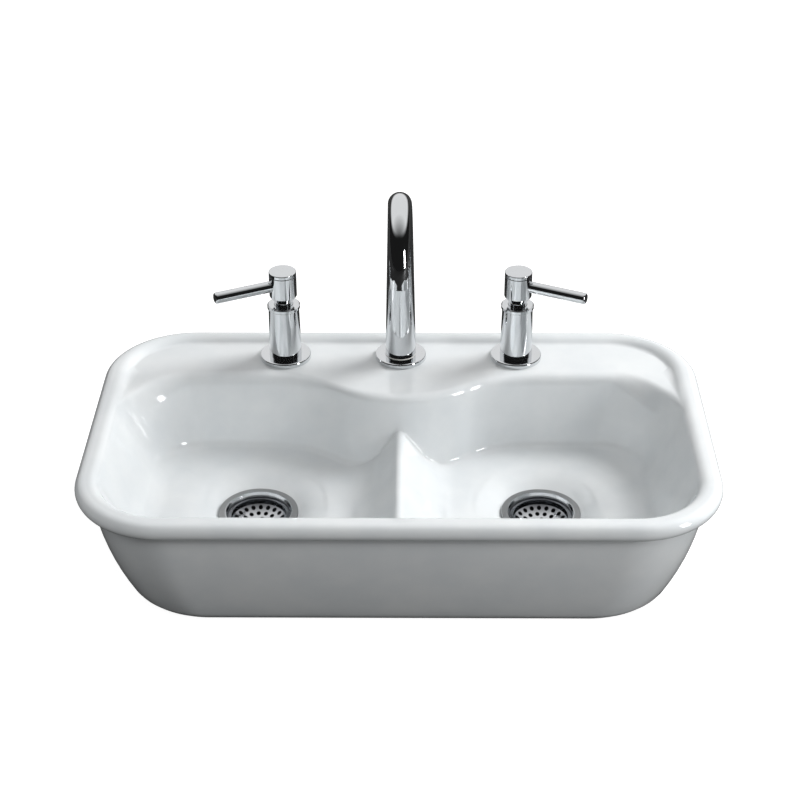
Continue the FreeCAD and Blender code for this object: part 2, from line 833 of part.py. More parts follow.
def swivel_rings():
    """Two rubber rings in the post's grooves."""
    centre = post_radius - ring_groove_depth + ring_section_radius
    rings = [Part.makeTorus(centre, ring_section_radius, up * level) for level in ring_heights]
    return Part.makeCompound(rings)


def spout_screw():
    """Screw at the back of the spout that keeps it on its post."""
    start = post_radius - lock_groove_depth + free_clearance
    return rod(grub_radius, up * lock_height + Vector(0, start, 0), Vector(0, 1, 0),
               spout_radius_at(lock_height - spout_low()) - start - spout_wall)


def aerator_outer():
    """Radius of the bore that the aerator screws into."""
    return spout_outlet_radius - spout_wall


def at_outlet(shape):
    """Move a shape made about Z to the spout's outlet."""
    return shape.translated(Vector(0, -spout_reach, spout_arch_level() - spout_drop))


def aerator_housing():
    """Screw-in ring with a lip under the end of the spout."""
    outer = aerator_outer() - slip_clearance
    inner = outer - aerator_wall
    high = aerator_depth - aerator_seal_thickness
    return at_outlet(turned([(inner, -aerator_lip), (spout_outlet_radius - aerator_wall, -aerator_lip),
                             (spout_outlet_radius, -aerator_lip / 2), (spout_outlet_radius, 0),
                             (outer, 0), (outer, high), (inner, high)]))


def aerator_insert():
    """Pierced disc that breaks up the water."""
    radius = aerator_outer() - aerator_wall - 2 * slip_clearance
    disc = rod(radius, Vector(), up, aerator_insert_thickness)
    holes = []
    for step in range(aerator_hole_count):
        turn = 2 * math.pi * step / aerator_hole_count
        spot = Vector(math.cos(turn), math.sin(turn), 0) * aerator_ring_radius
        holes.append(rod(aerator_hole_radius, spot - up * overrun, up,
                         aerator_insert_thickness + 2 * overrun))
    return at_outlet(disc.cut(holes))


def aerator_seal():
    """Rubber washer over the aerator."""
    outer = aerator_outer() - slip_clearance
    inner = outer - 2 * aerator_wall
    return at_outlet(ring(inner, outer, aerator_depth - aerator_seal_thickness, aerator_depth))


def strainer_gasket():
    """Gasket between the strainer's flange and its seat; heights are from the seat."""
    return ring(drain_hole_radius, flange_radius, 0, gasket_thickness)


def strainer_body():
    """Strainer: flange, bright mouth, ledge for the basket, threaded cup and outlet."""
    low = gasket_thickness
    high = low + flange_thickness
    ledge = -basket_ledge_depth
    cup_low = -cup_depth
    cup_inner = cup_radius - cup_step_wall
    bore = outlet_radius - outlet_wall
    outlet_low = cup_low - outlet_length
    edge = flange_radius - flange_rounding
    return turned([(bore, outlet_low), (outlet_radius, outlet_low), (outlet_radius, cup_low),
                   (cup_radius - cup_corner, cup_low), (cup_radius, cup_low + cup_corner),
                   (cup_radius, low), (flange_radius, low), (flange_radius, high - flange_rounding),
                   arc_points((edge, high - flange_rounding), flange_rounding, 0, 90),
                   (flange_mouth_radius, high), (throat_radius, low - flange_thickness),
                   (throat_radius, ledge), (cup_inner, ledge), (cup_inner, cup_low + cup_corner),
                   (cup_inner - cup_corner + cup_floor, cup_low + cup_floor), (bore, cup_low + cup_floor)])


def floor_washer():
    """Rubber washer under the bowl's floor."""
    high = -drain_seat_thickness
    return ring(cup_radius + slip_clearance, floor_washer_radius, high - floor_washer_thickness, high)


def friction_ring():
    """Fibre ring that lets the nut turn on the rubber."""
    high = -drain_seat_thickness - floor_washer_thickness
    return ring(cup_radius + slip_clearance, floor_washer_radius, high - friction_ring_thickness, high)


def drain_nut():
    """Wide locknut with grip lugs round its edge."""
    high = -drain_seat_thickness - floor_washer_thickness - friction_ring_thickness
    low = high - drain_nut_thickness
    bore = cup_radius + slip_clearance
    lugs = []
    for step in range(drain_nut_lug_count):
        turn = 2 * math.pi * step / drain_nut_lug_count
        spot = Vector(math.cos(turn), math.sin(turn), 0) * drain_nut_radius + up * low
        lugs.append(rod(drain_nut_lug_radius, spot, up, drain_nut_thickness))
    body = rod(drain_nut_radius, up * low, up, drain_nut_thickness).fuse(lugs)
    return body.cut(rod(bore, up * (low - overrun), up, drain_nut_thickness + 2 * overrun))


def dish_radius():
    """Radius of the ball that the basket's dish is part of, on its inner side."""
    mouth = basket_wall_radius() - basket_sheet
    return (mouth ** 2 + basket_dish_depth ** 2) / (2 * basket_dish_depth)


def basket_wall_radius():
    """Outer radius of the basket below its rim."""
    return cup_radius - cup_step_wall - basket_gap


def basket_floor():
    """Height of the basket's lowest inner point."""
    return basket_sheet - basket_ledge_depth - basket_wall_height - basket_dish_depth


def basket():
    """Pressed steel basket: flat rim, short wall and a dish with rings of holes."""
    ledge = -basket_ledge_depth
    rim = throat_radius - basket_rim_clearance
    wall = basket_wall_radius()
    inner = wall - basket_sheet
    top = ledge + basket_sheet
    dish_top = top - basket_wall_height
    ball = dish_radius()
    centre = basket_floor() + ball
    spread = math.degrees(math.asin(inner / ball))
    outer_ball = ball + basket_sheet
    outer_spread = math.degrees(math.asin(wall / outer_ball))
    outer_end = arc_points((0, centre), outer_ball, 270 + outer_spread, 270)
    shell = turned([(0, centre - ball), arc_points((0, centre), ball, 270, 270 + spread),
                    (inner, top), (rim, top), (rim, ledge), (wall, ledge),
                    (wall, centre - outer_ball * math.cos(math.radians(outer_spread))), outer_end])
    low = centre - outer_ball - overrun
    holes = [rod(post_shaft_radius + slip_clearance, up * low, up, dish_top - low)]
    for radius, count in zip(basket_ring_radii, basket_ring_counts):
        for step in range(count):
            turn = 2 * math.pi * step / count
            spot = Vector(radius * math.cos(turn), radius * math.sin(turn), low)
            holes.append(rod(basket_hole_radius, spot, up, dish_top - low))
    return shell.cut(holes)


def basket_post():
    """Low knob in the basket with the shaft that carries the stopper."""
    floor = basket_floor() + knob_seat_rise()
    top = floor + knob_height
    low = stopper_level() - stopper_nut_thickness / 2
    edge = knob_radius - knob_rounding
    return turned([(0, low), (post_shaft_radius, low), (post_shaft_radius, floor), (knob_radius, floor),
                   (knob_radius, top - knob_rounding),
                   arc_points((edge, top - knob_rounding), knob_rounding, 0, 90), (0, top)])


def knob_seat_rise():
    """How far the dish has risen under the knob's edge."""
    return dish_radius() - math.sqrt(dish_radius() ** 2 - knob_radius ** 2)


def stopper_level():
    """Height of the cup's floor, which the stopper shuts."""
    return cup_floor - cup_depth


def basket_stopper():
    """Rubber stopper on the post, shut on the cup's floor."""
    low = stopper_level()
    high = low + stopper_thickness
    edge = stopper_radius - stopper_rounding
    bore = post_shaft_radius + slip_clearance
    return turned([(bore, low), (stopper_radius, low), (stopper_radius, high - stopper_rounding),
                   arc_points((edge, high - stopper_rounding), stopper_rounding, 0, 90), (bore, high)])


def stopper_nuts():
    """Two small nuts that hold the stopper on the post, one above it and one below."""
    bore = post_shaft_radius + slip_clearance
    low = stopper_level()
    high = low + stopper_thickness
    nuts = []
    for start in (high, low - stopper_nut_thickness):
        hole = rod(bore, up * (start - overrun), up, stopper_nut_thickness + 2 * overrun)
        nuts.append(hexagon(stopper_nut_across_flats, start, start + stopper_nut_thickness).cut(hole))
    return Part.makeCompound(nuts)


def at_each(shape, places, level):
    """Copies of one fastener, as a group of separate solids."""
    return Part.makeCompound([placed(shape, place, level) for place in places])


def sink_parts():
    """Every piece by the name of its node, each in its place."""
    spout_place = (0, tap_y)
    tap_places = [spout_place] + list(valve_places().values())
    drains = list(drain_places().values())
    parts = {"basin": basin(),
             "deck_washers": at_each(deck_washer(), tap_places, deck_level),
             "clamp_washers": at_each(clamp_washer(), tap_places, deck_level),
             "mounting_nuts": at_each(mounting_nut(), tap_places, deck_level),
             "strainer_gaskets": at_each(strainer_gasket(), drains, seat_level),
             "floor_washers": at_each(floor_washer(), drains, seat_level),
             "friction_rings": at_each(friction_ring(), drains, seat_level),
             "drain_nuts": at_each(drain_nut(), drains, seat_level)}
    spout = {"spout_escutcheon": escutcheon(), "spout_shank": spout_shank(),
             "swivel_washer": swivel_washer(), "swivel_bush": swivel_bush(),
             "swivel_rings": swivel_rings(), "spout_tube": spout_tube(), "spout_screw": spout_screw(),
             "aerator_housing": aerator_housing(), "aerator_insert": aerator_insert(),
             "aerator_seal": aerator_seal()}
    for name, shape in spout.items():
        parts[name] = placed(shape, spout_place, deck_level)
    disc_low = pocket_floor + seal_thickness
    for hand, side in (("left", -1), ("right", 1)):
        disc_turn = full_turn / 4 - side * lever_rest_angle
        valve = {"escutcheon": escutcheon(), "valve_body": valve_body(-side), "seat_seal": seat_seal(),
                 "fixed_disc": ceramic_disc(disc_low, 0),
                 "moving_disc": ceramic_disc(disc_low + disc_thickness, disc_turn),
                 "cartridge": cartridge(), "stem": stem(), "valve_sleeve": valve_sleeve(),
                 "handle_hub": handle_hub(side), "hub_cap": hub_cap(), "lever": lever(side),
                 "handle_screw": handle_screw(side)}
        for name, shape in valve.items():
            parts[hand + "_" + name] = placed(shape, valve_places()[hand], deck_level)
        drain = {"strainer_body": strainer_body(), "basket": basket(), "basket_post": basket_post(),
                 "basket_stopper": basket_stopper(), "stopper_nuts": stopper_nuts()}
        for name, shape in drain.items():
            parts[hand + "_" + name] = placed(shape, drain_places()[hand], seat_level)
    return parts


for node, solid in sink_parts().items():
    solid.exportStep("parts/" + node + ".step")
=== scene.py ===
# %% [markdown]
# # A double-bowl porcelain sink
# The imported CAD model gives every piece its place. This lesson dresses it: the casting gets a smooth
# glazed skin, the tap gets polished chrome, and each piece gets a finish that can be read at close range.
# The sink's lengths are written in millimetres and turned to Blender's metres where they meet the scene;
# the floor and the lamps are placed in metres.

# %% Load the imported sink
import json
import math
import bpy
import numpy as np
from mathutils import Matrix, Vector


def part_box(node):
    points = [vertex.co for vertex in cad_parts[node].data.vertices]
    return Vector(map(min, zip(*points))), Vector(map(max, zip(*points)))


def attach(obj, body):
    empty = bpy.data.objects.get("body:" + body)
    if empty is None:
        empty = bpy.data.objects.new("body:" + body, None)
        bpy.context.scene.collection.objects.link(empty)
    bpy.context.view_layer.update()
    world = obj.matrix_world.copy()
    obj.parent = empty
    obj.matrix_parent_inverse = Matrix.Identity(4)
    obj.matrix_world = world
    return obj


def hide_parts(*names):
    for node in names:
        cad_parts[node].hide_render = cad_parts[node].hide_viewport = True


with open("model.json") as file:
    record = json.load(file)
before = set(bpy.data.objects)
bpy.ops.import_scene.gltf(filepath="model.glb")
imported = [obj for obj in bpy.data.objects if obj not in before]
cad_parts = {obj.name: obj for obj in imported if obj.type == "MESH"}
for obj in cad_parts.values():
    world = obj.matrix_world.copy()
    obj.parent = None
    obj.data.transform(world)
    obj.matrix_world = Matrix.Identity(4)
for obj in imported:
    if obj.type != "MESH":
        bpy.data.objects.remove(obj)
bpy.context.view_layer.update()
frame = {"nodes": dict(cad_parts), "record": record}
MM = 0.001

# %% [markdown]
# ## Places read from the model
# A skin that is drawn anew has to lie exactly where the casting is. Its sizes could be typed in again, but
# two copies of a number drift apart, so the main ones are read from the boxes of the nodes: the tap's
# cover plate stands on the deck, and the strainer's gasket lies on its seat. The drain and the tap are
# rounded to a tenth, because the boxes are those of faceted round pieces.

# %% Sizes of the casting and places on it


def span(node):
    """Lowest and highest corner of a node in millimetres."""
    low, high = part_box(node)
    return np.array(low) / MM, np.array(high) / MM


half_width, half_depth, basin_height = span("basin")[1]
drain_x, drain_y, _ = np.round(np.mean(span("right_strainer_body"), axis=0), 1)
tap_x, tap_y, _ = np.round(np.mean(span("right_escutcheon"), axis=0), 1)
deck_level = span("right_escutcheon")[0][2]
seat_level = span("strainer_gaskets")[0][2]
floor_under = span("floor_washers")[1][2]
deck_under = span("deck_washers")[1][2]
print("basin", half_width, half_depth, basin_height, "drain", drain_x, drain_y, "tap", tap_x, tap_y)

# %% [markdown]
# ## Colours and nodes
# A colour is written as the hex value that a paint chart or a picture editor shows, which is sRGB.
# Blender mixes light in linear values, so one function turns one into the other. A finish could be wired
# by hand in the shader editor. In a script, one function that adds a node, sets it and links it does the
# same work, and every material below is a few calls of it.

# %% Helpers for materials


def linear(code):
    """Linear RGBA from an sRGB hex code: each channel is (c + 0.055) / 1.055 to the power 2.4."""
    channels = [int(code[start:start + 2], 16) / 255 for start in (1, 3, 5)]
    return [c / 12.92 if c <= 0.04045 else ((c + 0.055) / 1.055) ** 2.4 for c in channels] + [1.0]


def add_node(owner, kind, settings=None, inputs=None, stops=()):
    """Add one node to a material or a world.

    An input given as a (node, output) pair is linked, any other value is set. Stops fill a ramp: each is
    a place from 0 to 1 and a linear colour, in rising order.
    """
    tree = owner.node_tree
    node = tree.nodes.new(kind)
    for name, value in (settings or {}).items():
        setattr(node, name, value)
    for name, value in (inputs or {}).items():
        if isinstance(value, tuple) and isinstance(value[0], bpy.types.Node):
            tree.links.new(value[0].outputs[value[1]], node.inputs[name])
        else:
            node.inputs[name].default_value = value
    while stops and len(node.color_ramp.elements) < len(stops):
        node.color_ramp.elements.new(1.0)
    for index, (place, color) in enumerate(stops):
        node.color_ramp.elements[index].position = place
        node.color_ramp.elements[index].color = color
    return node


def link(owner, source, output, target, socket):
    """Link one node's output to the socket of a node that is already there."""
    owner.node_tree.links.new(source.outputs[output], target.inputs[socket])


def new_material(name, **inputs):
    """Node material with a Principled shader whose sockets are set by name."""
    material = bpy.data.materials.new(name)
    material.use_nodes = True
    shader = material.node_tree.nodes["Principled BSDF"]
    for socket, value in inputs.items():
        shader.inputs[socket.replace("_", " ")].default_value = value
    return material, shader


def per_metre(size):
    """Noise scale whose features are about this many millimetres across: one over the size in metres."""
    return 1.0 / (size * MM)


print("a mid grey of #808080 is", round(linear("#808080")[0], 3), "in linear light")

# %% [markdown]
# ## Glazed porcelain
# The casting is fired clay under a white glaze. The eye sees three things: a clean cool white, a
# sharp reflection from the glass, and the slight roll of that reflection where the glaze settled unevenly.
# A picture of a glaze could be wrapped round the sink, but it would stretch and show seams. Noise in the
# object's own space has none: a long, shallow one gives the roll, a finer one the orange peel, and a soft
# mottle the clay below.

# %% Porcelain
porcelain, shader = new_material("glazed_porcelain", IOR=1.5, Coat_Weight=0.35, Coat_Roughness=0.03,
                                 Coat_IOR=1.55)
place = add_node(porcelain, "ShaderNodeTexCoord")
mottle = add_node(porcelain, "ShaderNodeTexNoise", None,
                  {"Vector": (place, "Object"), "Scale": per_metre(60), "Detail": 3.0, "Roughness": 0.55})
tint = add_node(porcelain, "ShaderNodeValToRGB", None, {"Fac": (mottle, "Fac")},
                [(0.35, linear("#DFE3E5")), (0.68, linear("#E6E9EA"))])
link(porcelain, tint, "Color", shader, "Base Color")
gloss = add_node(porcelain, "ShaderNodeMapRange", None,
                 {"Value": (mottle, "Fac"), "From Min": 0.3, "From Max": 0.7, "To Min": 0.05, "To Max": 0.1})
link(porcelain, gloss, "Result", shader, "Roughness")
roll = add_node(porcelain, "ShaderNodeTexNoise", None,
                {"Vector": (place, "Object"), "Scale": per_metre(28), "Detail": 2.0})
# Real orange peel is about 1 mm across; it is drawn at 3.5 mm, so that it shows from two metres away.
peel = add_node(porcelain, "ShaderNodeTexNoise", None,
                {"Vector": (place, "Object"), "Scale": per_metre(3.5), "Detail": 1.0})
waves = add_node(porcelain, "ShaderNodeBump", None,
                 {"Height": (roll, "Fac"), "Strength": 0.25, "Distance": 0.6 * MM})
skin_bump = add_node(porcelain, "ShaderNodeBump", None,
                     {"Height": (peel, "Fac"), "Normal": (waves, "Normal"), "Strength": 0.12,
                      "Distance": 0.05 * MM})
link(porcelain, skin_bump, "Normal", shader, "Normal")
print("material", porcelain.name)

# %% [markdown]
# ## Polished chrome
# The spout, the cover plates, the sleeves and the levers are chrome plate over brass: a mirror with a faint
# blue cast. A bare metal shader gives a perfect mirror, and a real tap is never that clean. What tells
# them apart is a haze of wiping marks, so the roughness wanders a little from place to place.

# %% Chrome
chrome, shader = new_material("polished_chrome_plate", Metallic=1.0, Base_Color=linear("#DCDEE0"))
place = add_node(chrome, "ShaderNodeTexCoord")
wipes = add_node(chrome, "ShaderNodeTexNoise", None,
                 {"Vector": (place, "Object"), "Scale": per_metre(14), "Detail": 5.0, "Roughness": 0.7})
haze = add_node(chrome, "ShaderNodeMapRange", None,
                {"Value": (wipes, "Fac"), "From Min": 0.35, "From Max": 0.75, "To Min": 0.035, "To Max": 0.075})
link(chrome, haze, "Result", shader, "Roughness")
print("material", chrome.name)

# %% [markdown]
# ## Turned and pressed steel
# A strainer body is stainless steel turned on a lathe: its flange is satin, the lip of its mouth polished,
# and the cup below dull. The lip is also painted lighter than the flange, a painted highlight, and the cup
# darker, painted shade in the recess. Its basket is pressed and buffed, and its colour is painted lightest in
# the middle and darker towards its rim: a painted highlight and painted shade. Each could be cut into
# several materials, but all of these change with one thing, the distance from the drain's axis. So a ramp
# over that distance holds the bands, and a noise over the same distance draws the lathe's rings. Folding
# left onto right lets one material serve both drains.

# %% Steel with rings round each drain


def ringed_steel(name, bands, spacing):
    """Steel whose colour and gloss go by the distance from the nearer drain's axis, under lathe rings.

    A band is a radius in millimetres, a colour and a roughness; from one band to the next they blend.
    """
    material, shader = new_material(name, Metallic=1.0)
    place = add_node(material, "ShaderNodeTexCoord")
    split = add_node(material, "ShaderNodeSeparateXYZ", None, {"Vector": (place, "Object")})
    across = add_node(material, "ShaderNodeMath", {"operation": "ABSOLUTE"}, {0: (split, "X")})
    flat = add_node(material, "ShaderNodeCombineXYZ", None, {"X": (across, "Value"), "Y": (split, "Y")})
    radius = add_node(material, "ShaderNodeVectorMath", {"operation": "DISTANCE"},
                      {0: (flat, "Vector"), 1: (drain_x * MM, drain_y * MM, 0)})
    reach, ring_roughness = bands[-1][0], 0.16
    share = add_node(material, "ShaderNodeMath", {"operation": "DIVIDE"}, {0: (radius, "Value"), 1: reach * MM})
    tint = add_node(material, "ShaderNodeValToRGB", None, {"Fac": (share, "Value")},
                    [(band / reach, linear(color)) for band, color, _ in bands])
    link(material, tint, "Color", shader, "Base Color")
    gloss = add_node(material, "ShaderNodeValToRGB", None, {"Fac": (share, "Value")},
                     [(band / reach, [dull, dull, dull, 1.0]) for band, _, dull in bands])
    rings = add_node(material, "ShaderNodeTexNoise", {"noise_dimensions": "1D"},
                     {"W": (radius, "Value"), "Scale": per_metre(spacing), "Detail": 4.0, "Roughness": 0.7})
    ring_gloss = add_node(material, "ShaderNodeMath", {"operation": "MULTIPLY_ADD"},
                          {0: (rings, "Fac"), 1: ring_roughness, 2: (gloss, "Color")})
    link(material, ring_gloss, "Value", shader, "Roughness")
    bump = add_node(material, "ShaderNodeBump", None,
                    {"Height": (rings, "Fac"), "Strength": 0.2, "Distance": 0.05 * MM})
    link(material, bump, "Normal", shader, "Normal")
    print("material", material.name, "in", len(bands), "bands")
    return material


# A lathe's marks are about 0.1 mm apart; they are drawn 0.9 and 2.2 mm apart, so that they show.
mouth_radius = 45.0
# The lip's lighter band is a painted highlight over real polish, and the cup's darker band is painted shade in
# the recess.
strainer_steel = ringed_steel("turned_steel_with_painted_highlight_and_shade",
                              [(0, "#8E9093", 0.4), (mouth_radius - 2, "#8E9093", 0.35),
                               (mouth_radius - 1.5, "#D6D8DA", 0.05), (mouth_radius + 0.5, "#D6D8DA", 0.05),
                               (mouth_radius + 1.5, "#A6A7A8", 0.32), (60, "#A6A7A8", 0.32)], 0.9)
# The basket's colour is painted lightest in the middle and darker towards its rim: a painted highlight and
# painted shade.
basket_steel = ringed_steel("pressed_steel_with_painted_highlight_and_shade",
                            [(0, "#D8DADC", 0.02), (26, "#C6C8CB", 0.03), (34, "#A2A4A8", 0.06),
                             (40, "#808286", 0.1)], 2.2)

# %% [markdown]
# ## Hidden and half-hidden pieces
# Brass, zinc, rubber, plastic, fibre and ceramic sit under the deck, under the bowls or inside the taps.
# Flat colours would do while they are hidden, but a basket can be lifted out and the sink turned over. So
# each gets the mark of how it was made: machining marks on brass, crystals on zinc, a mould's grain on
# rubber and plastic, felted fibres in the slip ring, grinding on the ceramic discs. One noise serves them
# all, with other sizes. Most of the real grain is far finer than a millimetre; it is drawn coarse enough
# to show.

# %% Grained materials


def grained(name, colors, grain_size, roughness, metallic, relief):
    """Material whose colour, gloss and height share one noise; grain size and relief are in millimetres."""
    material, shader = new_material(name, Metallic=metallic)
    place = add_node(material, "ShaderNodeTexCoord")
    grain = add_node(material, "ShaderNodeTexNoise", None,
                     {"Vector": (place, "Object"), "Scale": per_metre(grain_size), "Detail": 4.0,
                      "Roughness": 0.6})
    tint = add_node(material, "ShaderNodeValToRGB", None, {"Fac": (grain, "Fac")},
                    [(0.3, linear(colors[0])), (0.7, linear(colors[1]))])
    link(material, tint, "Color", shader, "Base Color")
    gloss = add_node(material, "ShaderNodeMapRange", None,
                     {"Value": (grain, "Fac"), "From Min": 0.3, "From Max": 0.7,
                      "To Min": roughness[0], "To Max": roughness[1]})
    link(material, gloss, "Result", shader, "Roughness")
    bump = add_node(material, "ShaderNodeBump", None,
                    {"Height": (grain, "Fac"), "Strength": 0.3, "Distance": relief * MM})
    link(material, bump, "Normal", shader, "Normal")
    print("material", name, "with a grain of", grain_size, "mm")
    return material


# Machined brass: a warm satin with fine tool marks.
brass = grained("machined_brass", ("#A8854A", "#C9A868"), 2.0, (0.22, 0.38), 1.0, 0.03)
# Zinc plate: a cool grey shine, broken up by small crystals.
zinc_steel = grained("zinc_plated_steel", ("#9FA3A6", "#C2C5C7"), 3.0, (0.28, 0.45), 1.0, 0.03)
# Moulded rubber: nearly black and dull, with the mould's grain.
black_rubber = grained("moulded_black_rubber", ("#17181A", "#242527"), 0.8, (0.55, 0.75), 0.0, 0.05)
# Pressed fibre: flecked tan, with no shine at all.
fibre = grained("pressed_fibre", ("#8C7A5A", "#B39F78"), 1.2, (0.75, 0.95), 0.0, 0.08)
# Moulded acetal: milky white with a soft shine.
white_plastic = grained("moulded_acetal_plastic", ("#DDDCD6", "#E8E7E2"), 1.0, (0.35, 0.5), 0.0, 0.02)
# Ground alumina: cream, smooth and a little glossy.
disc_ceramic = grained("ground_alumina_ceramic", ("#E4DECB", "#EFEADB"), 0.6, (0.2, 0.35), 0.0, 0.01)

# %% [markdown]
# ## A finish for every node
# The tap, the strainers and all that holds them keep the shape that the CAD gave them, so they only need a
# finish. It could be put on by hand, node by node. The record says which material slot each node has, and
# a loop over it leaves none out.

# %% Put the finishes on the nodes
finishes = {"porcelain": porcelain, "chrome": chrome, "strainer_steel": strainer_steel,
            "basket_steel": basket_steel, "brass": brass, "zinc_steel": zinc_steel,
            "black_rubber": black_rubber, "fibre": fibre, "white_plastic": white_plastic,
            "disc_ceramic": disc_ceramic}
node_slots = {part["node"]: part["material_slot"] for part in frame["record"]["subparts"]}
for node, solid in frame["nodes"].items():
    solid.data.materials.clear()
    solid.data.materials.append(finishes[node_slots[node]])
print("finishes on", len(node_slots), "nodes")

# %% [markdown]
# ## From arrays to a mesh
# A piece is two arrays: its points, and the corner numbers of its faces. They could be added one by one
# with bmesh, which is slow for ninety thousand faces. foreach_set pours a whole array in at once. All
# faces are smooth, and an edge stays sharp only where the surface really turns, as at a drain hole.

# %% Pour arrays into a mesh
crease = math.radians(35)


def add_piece(name, points, quads, slot, body, nodes):
    """Smooth mesh object from an array of points in millimetres and an array of four corner numbers a face."""
    mesh = bpy.data.meshes.new(name)
    mesh.vertices.add(len(points))
    mesh.vertices.foreach_set("co", (points * MM).ravel())
    mesh.loops.add(quads.size)
    mesh.loops.foreach_set("vertex_index", quads.ravel())
    mesh.polygons.add(len(quads))
    mesh.polygons.foreach_set("loop_start", np.arange(0, quads.size, 4))
    mesh.polygons.foreach_set("use_smooth", np.ones(len(quads), bool))
    mesh.update(calc_edges=True)
    mesh.validate()
    mesh.set_sharp_from_angle(angle=crease)
    mesh.materials.append(finishes[slot])
    piece = bpy.data.objects.new(name, mesh)
    bpy.context.scene.collection.objects.link(piece)
    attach(piece, body)
    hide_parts(*nodes)
    print(name, len(points), "points", len(quads), "faces")
    return piece


print("edges over", round(math.degrees(crease)), "degrees stay sharp")

# %% [markdown]
# ## The cross-section of a wall
# Seen from above, the whole inside of the sink is a height over a plane: rim, deck, walls, saddle, floor
# and dishes. They could be modelled one by one and blended by hand. But a section through any of them is
# the same line with other numbers: a level, a rounded edge, a straight slope, a fillet and a floor. So one
# function draws them all, and smooth maxima join them.

# %% Section of a wall, and soft joints
tiny = 1e-6


def wall_bends(top, edge, lean, fillet, floor):
    """Runs at which the rounded edge ends, the fillet starts and the floor starts.

    The arcs reach their radius times the cosine of the lean; the slope between them runs its drop times
    the tangent of the lean.
    """
    across, along = math.cos(math.radians(lean)), math.sin(math.radians(lean))
    slope_start = edge * across
    drop = top - floor - (edge + fillet) * (1 - along)
    slope_end = slope_start + drop * along / across
    return slope_start, slope_end, slope_end + fillet * across


def wall_height(run, top, edge, lean, fillet, floor):
    """Height at a run past the start of a rounded edge: arc, straight slope, arc, floor.

    Over its centre, the edge's arc is the root of its radius squared less the run squared. The slope falls
    by the run over the tangent of the lean. The fillet is such an arc upside down, measured from its end.
    """
    slope_start, slope_end, end = wall_bends(top, edge, lean, fillet, floor)
    lean = math.radians(lean)
    slope_top = top - edge * (1 - math.sin(lean))
    rounding = top - edge + np.sqrt(np.maximum(edge ** 2 - run ** 2, 0))
    slope = slope_top - (run - slope_start) / math.tan(lean)
    foot = floor + fillet - np.sqrt(np.maximum(fillet ** 2 - (end - run) ** 2, 0))
    return np.select([run <= 0, run < slope_start, run < slope_end, run < end],
                     [np.full_like(run, top), rounding, slope, foot], floor)


def smooth_step(share):
    """Eases from 0 to 1: 3 t squared minus 2 t cubed."""
    share = np.clip(share, 0, 1)
    return share * share * (3 - 2 * share)


def smooth_max(first, second, blend):
    """Larger of two heights; nearer than the blend, plus the square of what is missing over four blends."""
    blend = np.maximum(blend, tiny)
    return np.maximum(first, second) + np.maximum(blend - np.abs(first - second), 0) ** 2 / (4 * blend)


print("two equal heights with a blend of 12 mm meet", float(smooth_max(0.0, 0.0, 12.0)), "mm higher")

# %% [markdown]
# ## The sink's own numbers
# A potter's drawing of this sink would give, for each wall, its top, the rounding of its edge, how many
# degrees it leans off upright, the fillet at its foot and the floor it ends on. They are the CAD casting's
# own numbers, except that the saddle's flanks are a little more hollow and its crest a little rounder. They
# are kept in one place, so that a wall can be changed without a search through the code. Below them stand
# the widths of the soft joints, which only the glazed skin has.

# %% Rim, deck, saddle, floor and soft joints in numbers
roll_radius, outer_corner = 12.5, 120.0
rim_flat, rim_flat_back = 5.5, -1.5
rim_edge, wall_lean, floor_fillet = 15.0, 25.0, 30.0
dish_depth, deck_depth, saddle_drop = 18.0, 98.0, 56.0
floor_level, deck_front = seat_level + dish_depth, half_depth - deck_depth
deck_bulge, bulge_half = 67.0, 190.0
deck_edge, deck_lean, deck_fillet, mouth_run = 14.0, 15.0, 12.0, 18.0
deck_corner, floor_corner, corner_depth = 125.0, 75.0, 45.0
dish_radius = 106.9
# A wall: its top, the rounding of its edge, its lean in degrees, the fillet at its foot and the floor.
side_wall = (basin_height, rim_edge, wall_lean, floor_fillet, floor_level)
deck_wall = (deck_level, deck_edge, deck_lean, deck_fillet, floor_level)
saddle_wall = (basin_height - saddle_drop, 8.0, 38.0, 62.0, floor_level)
dish_wall = (floor_level, 80.0, 55.0, 3.0, seat_level)
corner_x, corner_y = half_width - outer_corner, half_depth - outer_corner

ledge_share, ledge_blend = 0.75, 9.0
groove_share, groove_start, groove_rise, groove_blend = 0.6, 60.0, 40.0, 11.0
saddle_blend, saddle_rise = 12.0, 30.0
print("floor at", round(floor_level, 2), "deck at", round(deck_level, 2), "saddle at", round(saddle_wall[0], 2))

# %% [markdown]
# ## Lines seen from above
# From above, the deck's front edge swings forward in a wave, and the bowls' back corners are wide at the
# deck and tighter at the floor, as a thumb would press them in clay. A spline could be laid through points
# of the picture. Arcs that touch are what a mould maker would draw, and they give each point a clean
# distance to the edge, which is all that the section above needs.

# %% The wave and the corners


def wave(x):
    """Front line of the deck: two hollow arcs and a full one, all of one radius, that touch halfway out.

    The radius is the half width squared plus the bulge squared, over four bulges.
    """
    radius = (bulge_half ** 2 + deck_bulge ** 2) / (4 * deck_bulge)
    out = np.minimum(np.abs(x), bulge_half)
    hollow = deck_front - radius + np.sqrt(np.maximum(radius ** 2 - (bulge_half - out) ** 2, 0))
    full = deck_front - deck_bulge + radius - np.sqrt(np.maximum(radius ** 2 - out ** 2, 0))
    return np.where(out > bulge_half / 2, hollow, full)


def round_min(first, second, radius):
    """Smaller of two distances, with the corner between them turned on one radius.

    In the corner it is half the sum, plus half the root of two radii squared less the difference squared,
    less the radius.
    """
    apart = np.clip(np.abs(first - second), 0, radius)
    arc = (first + second) / 2 + np.sqrt(2 * radius ** 2 - apart ** 2) / 2 - radius
    return np.where(np.abs(first - second) < radius, arc, np.minimum(first, second))


def bowl_corner(depth):
    """Radius of a bowl's back corners: eased from the deck's to the floor's over the first depth of the wall."""
    return deck_corner + (floor_corner - deck_corner) * smooth_step(depth / corner_depth)


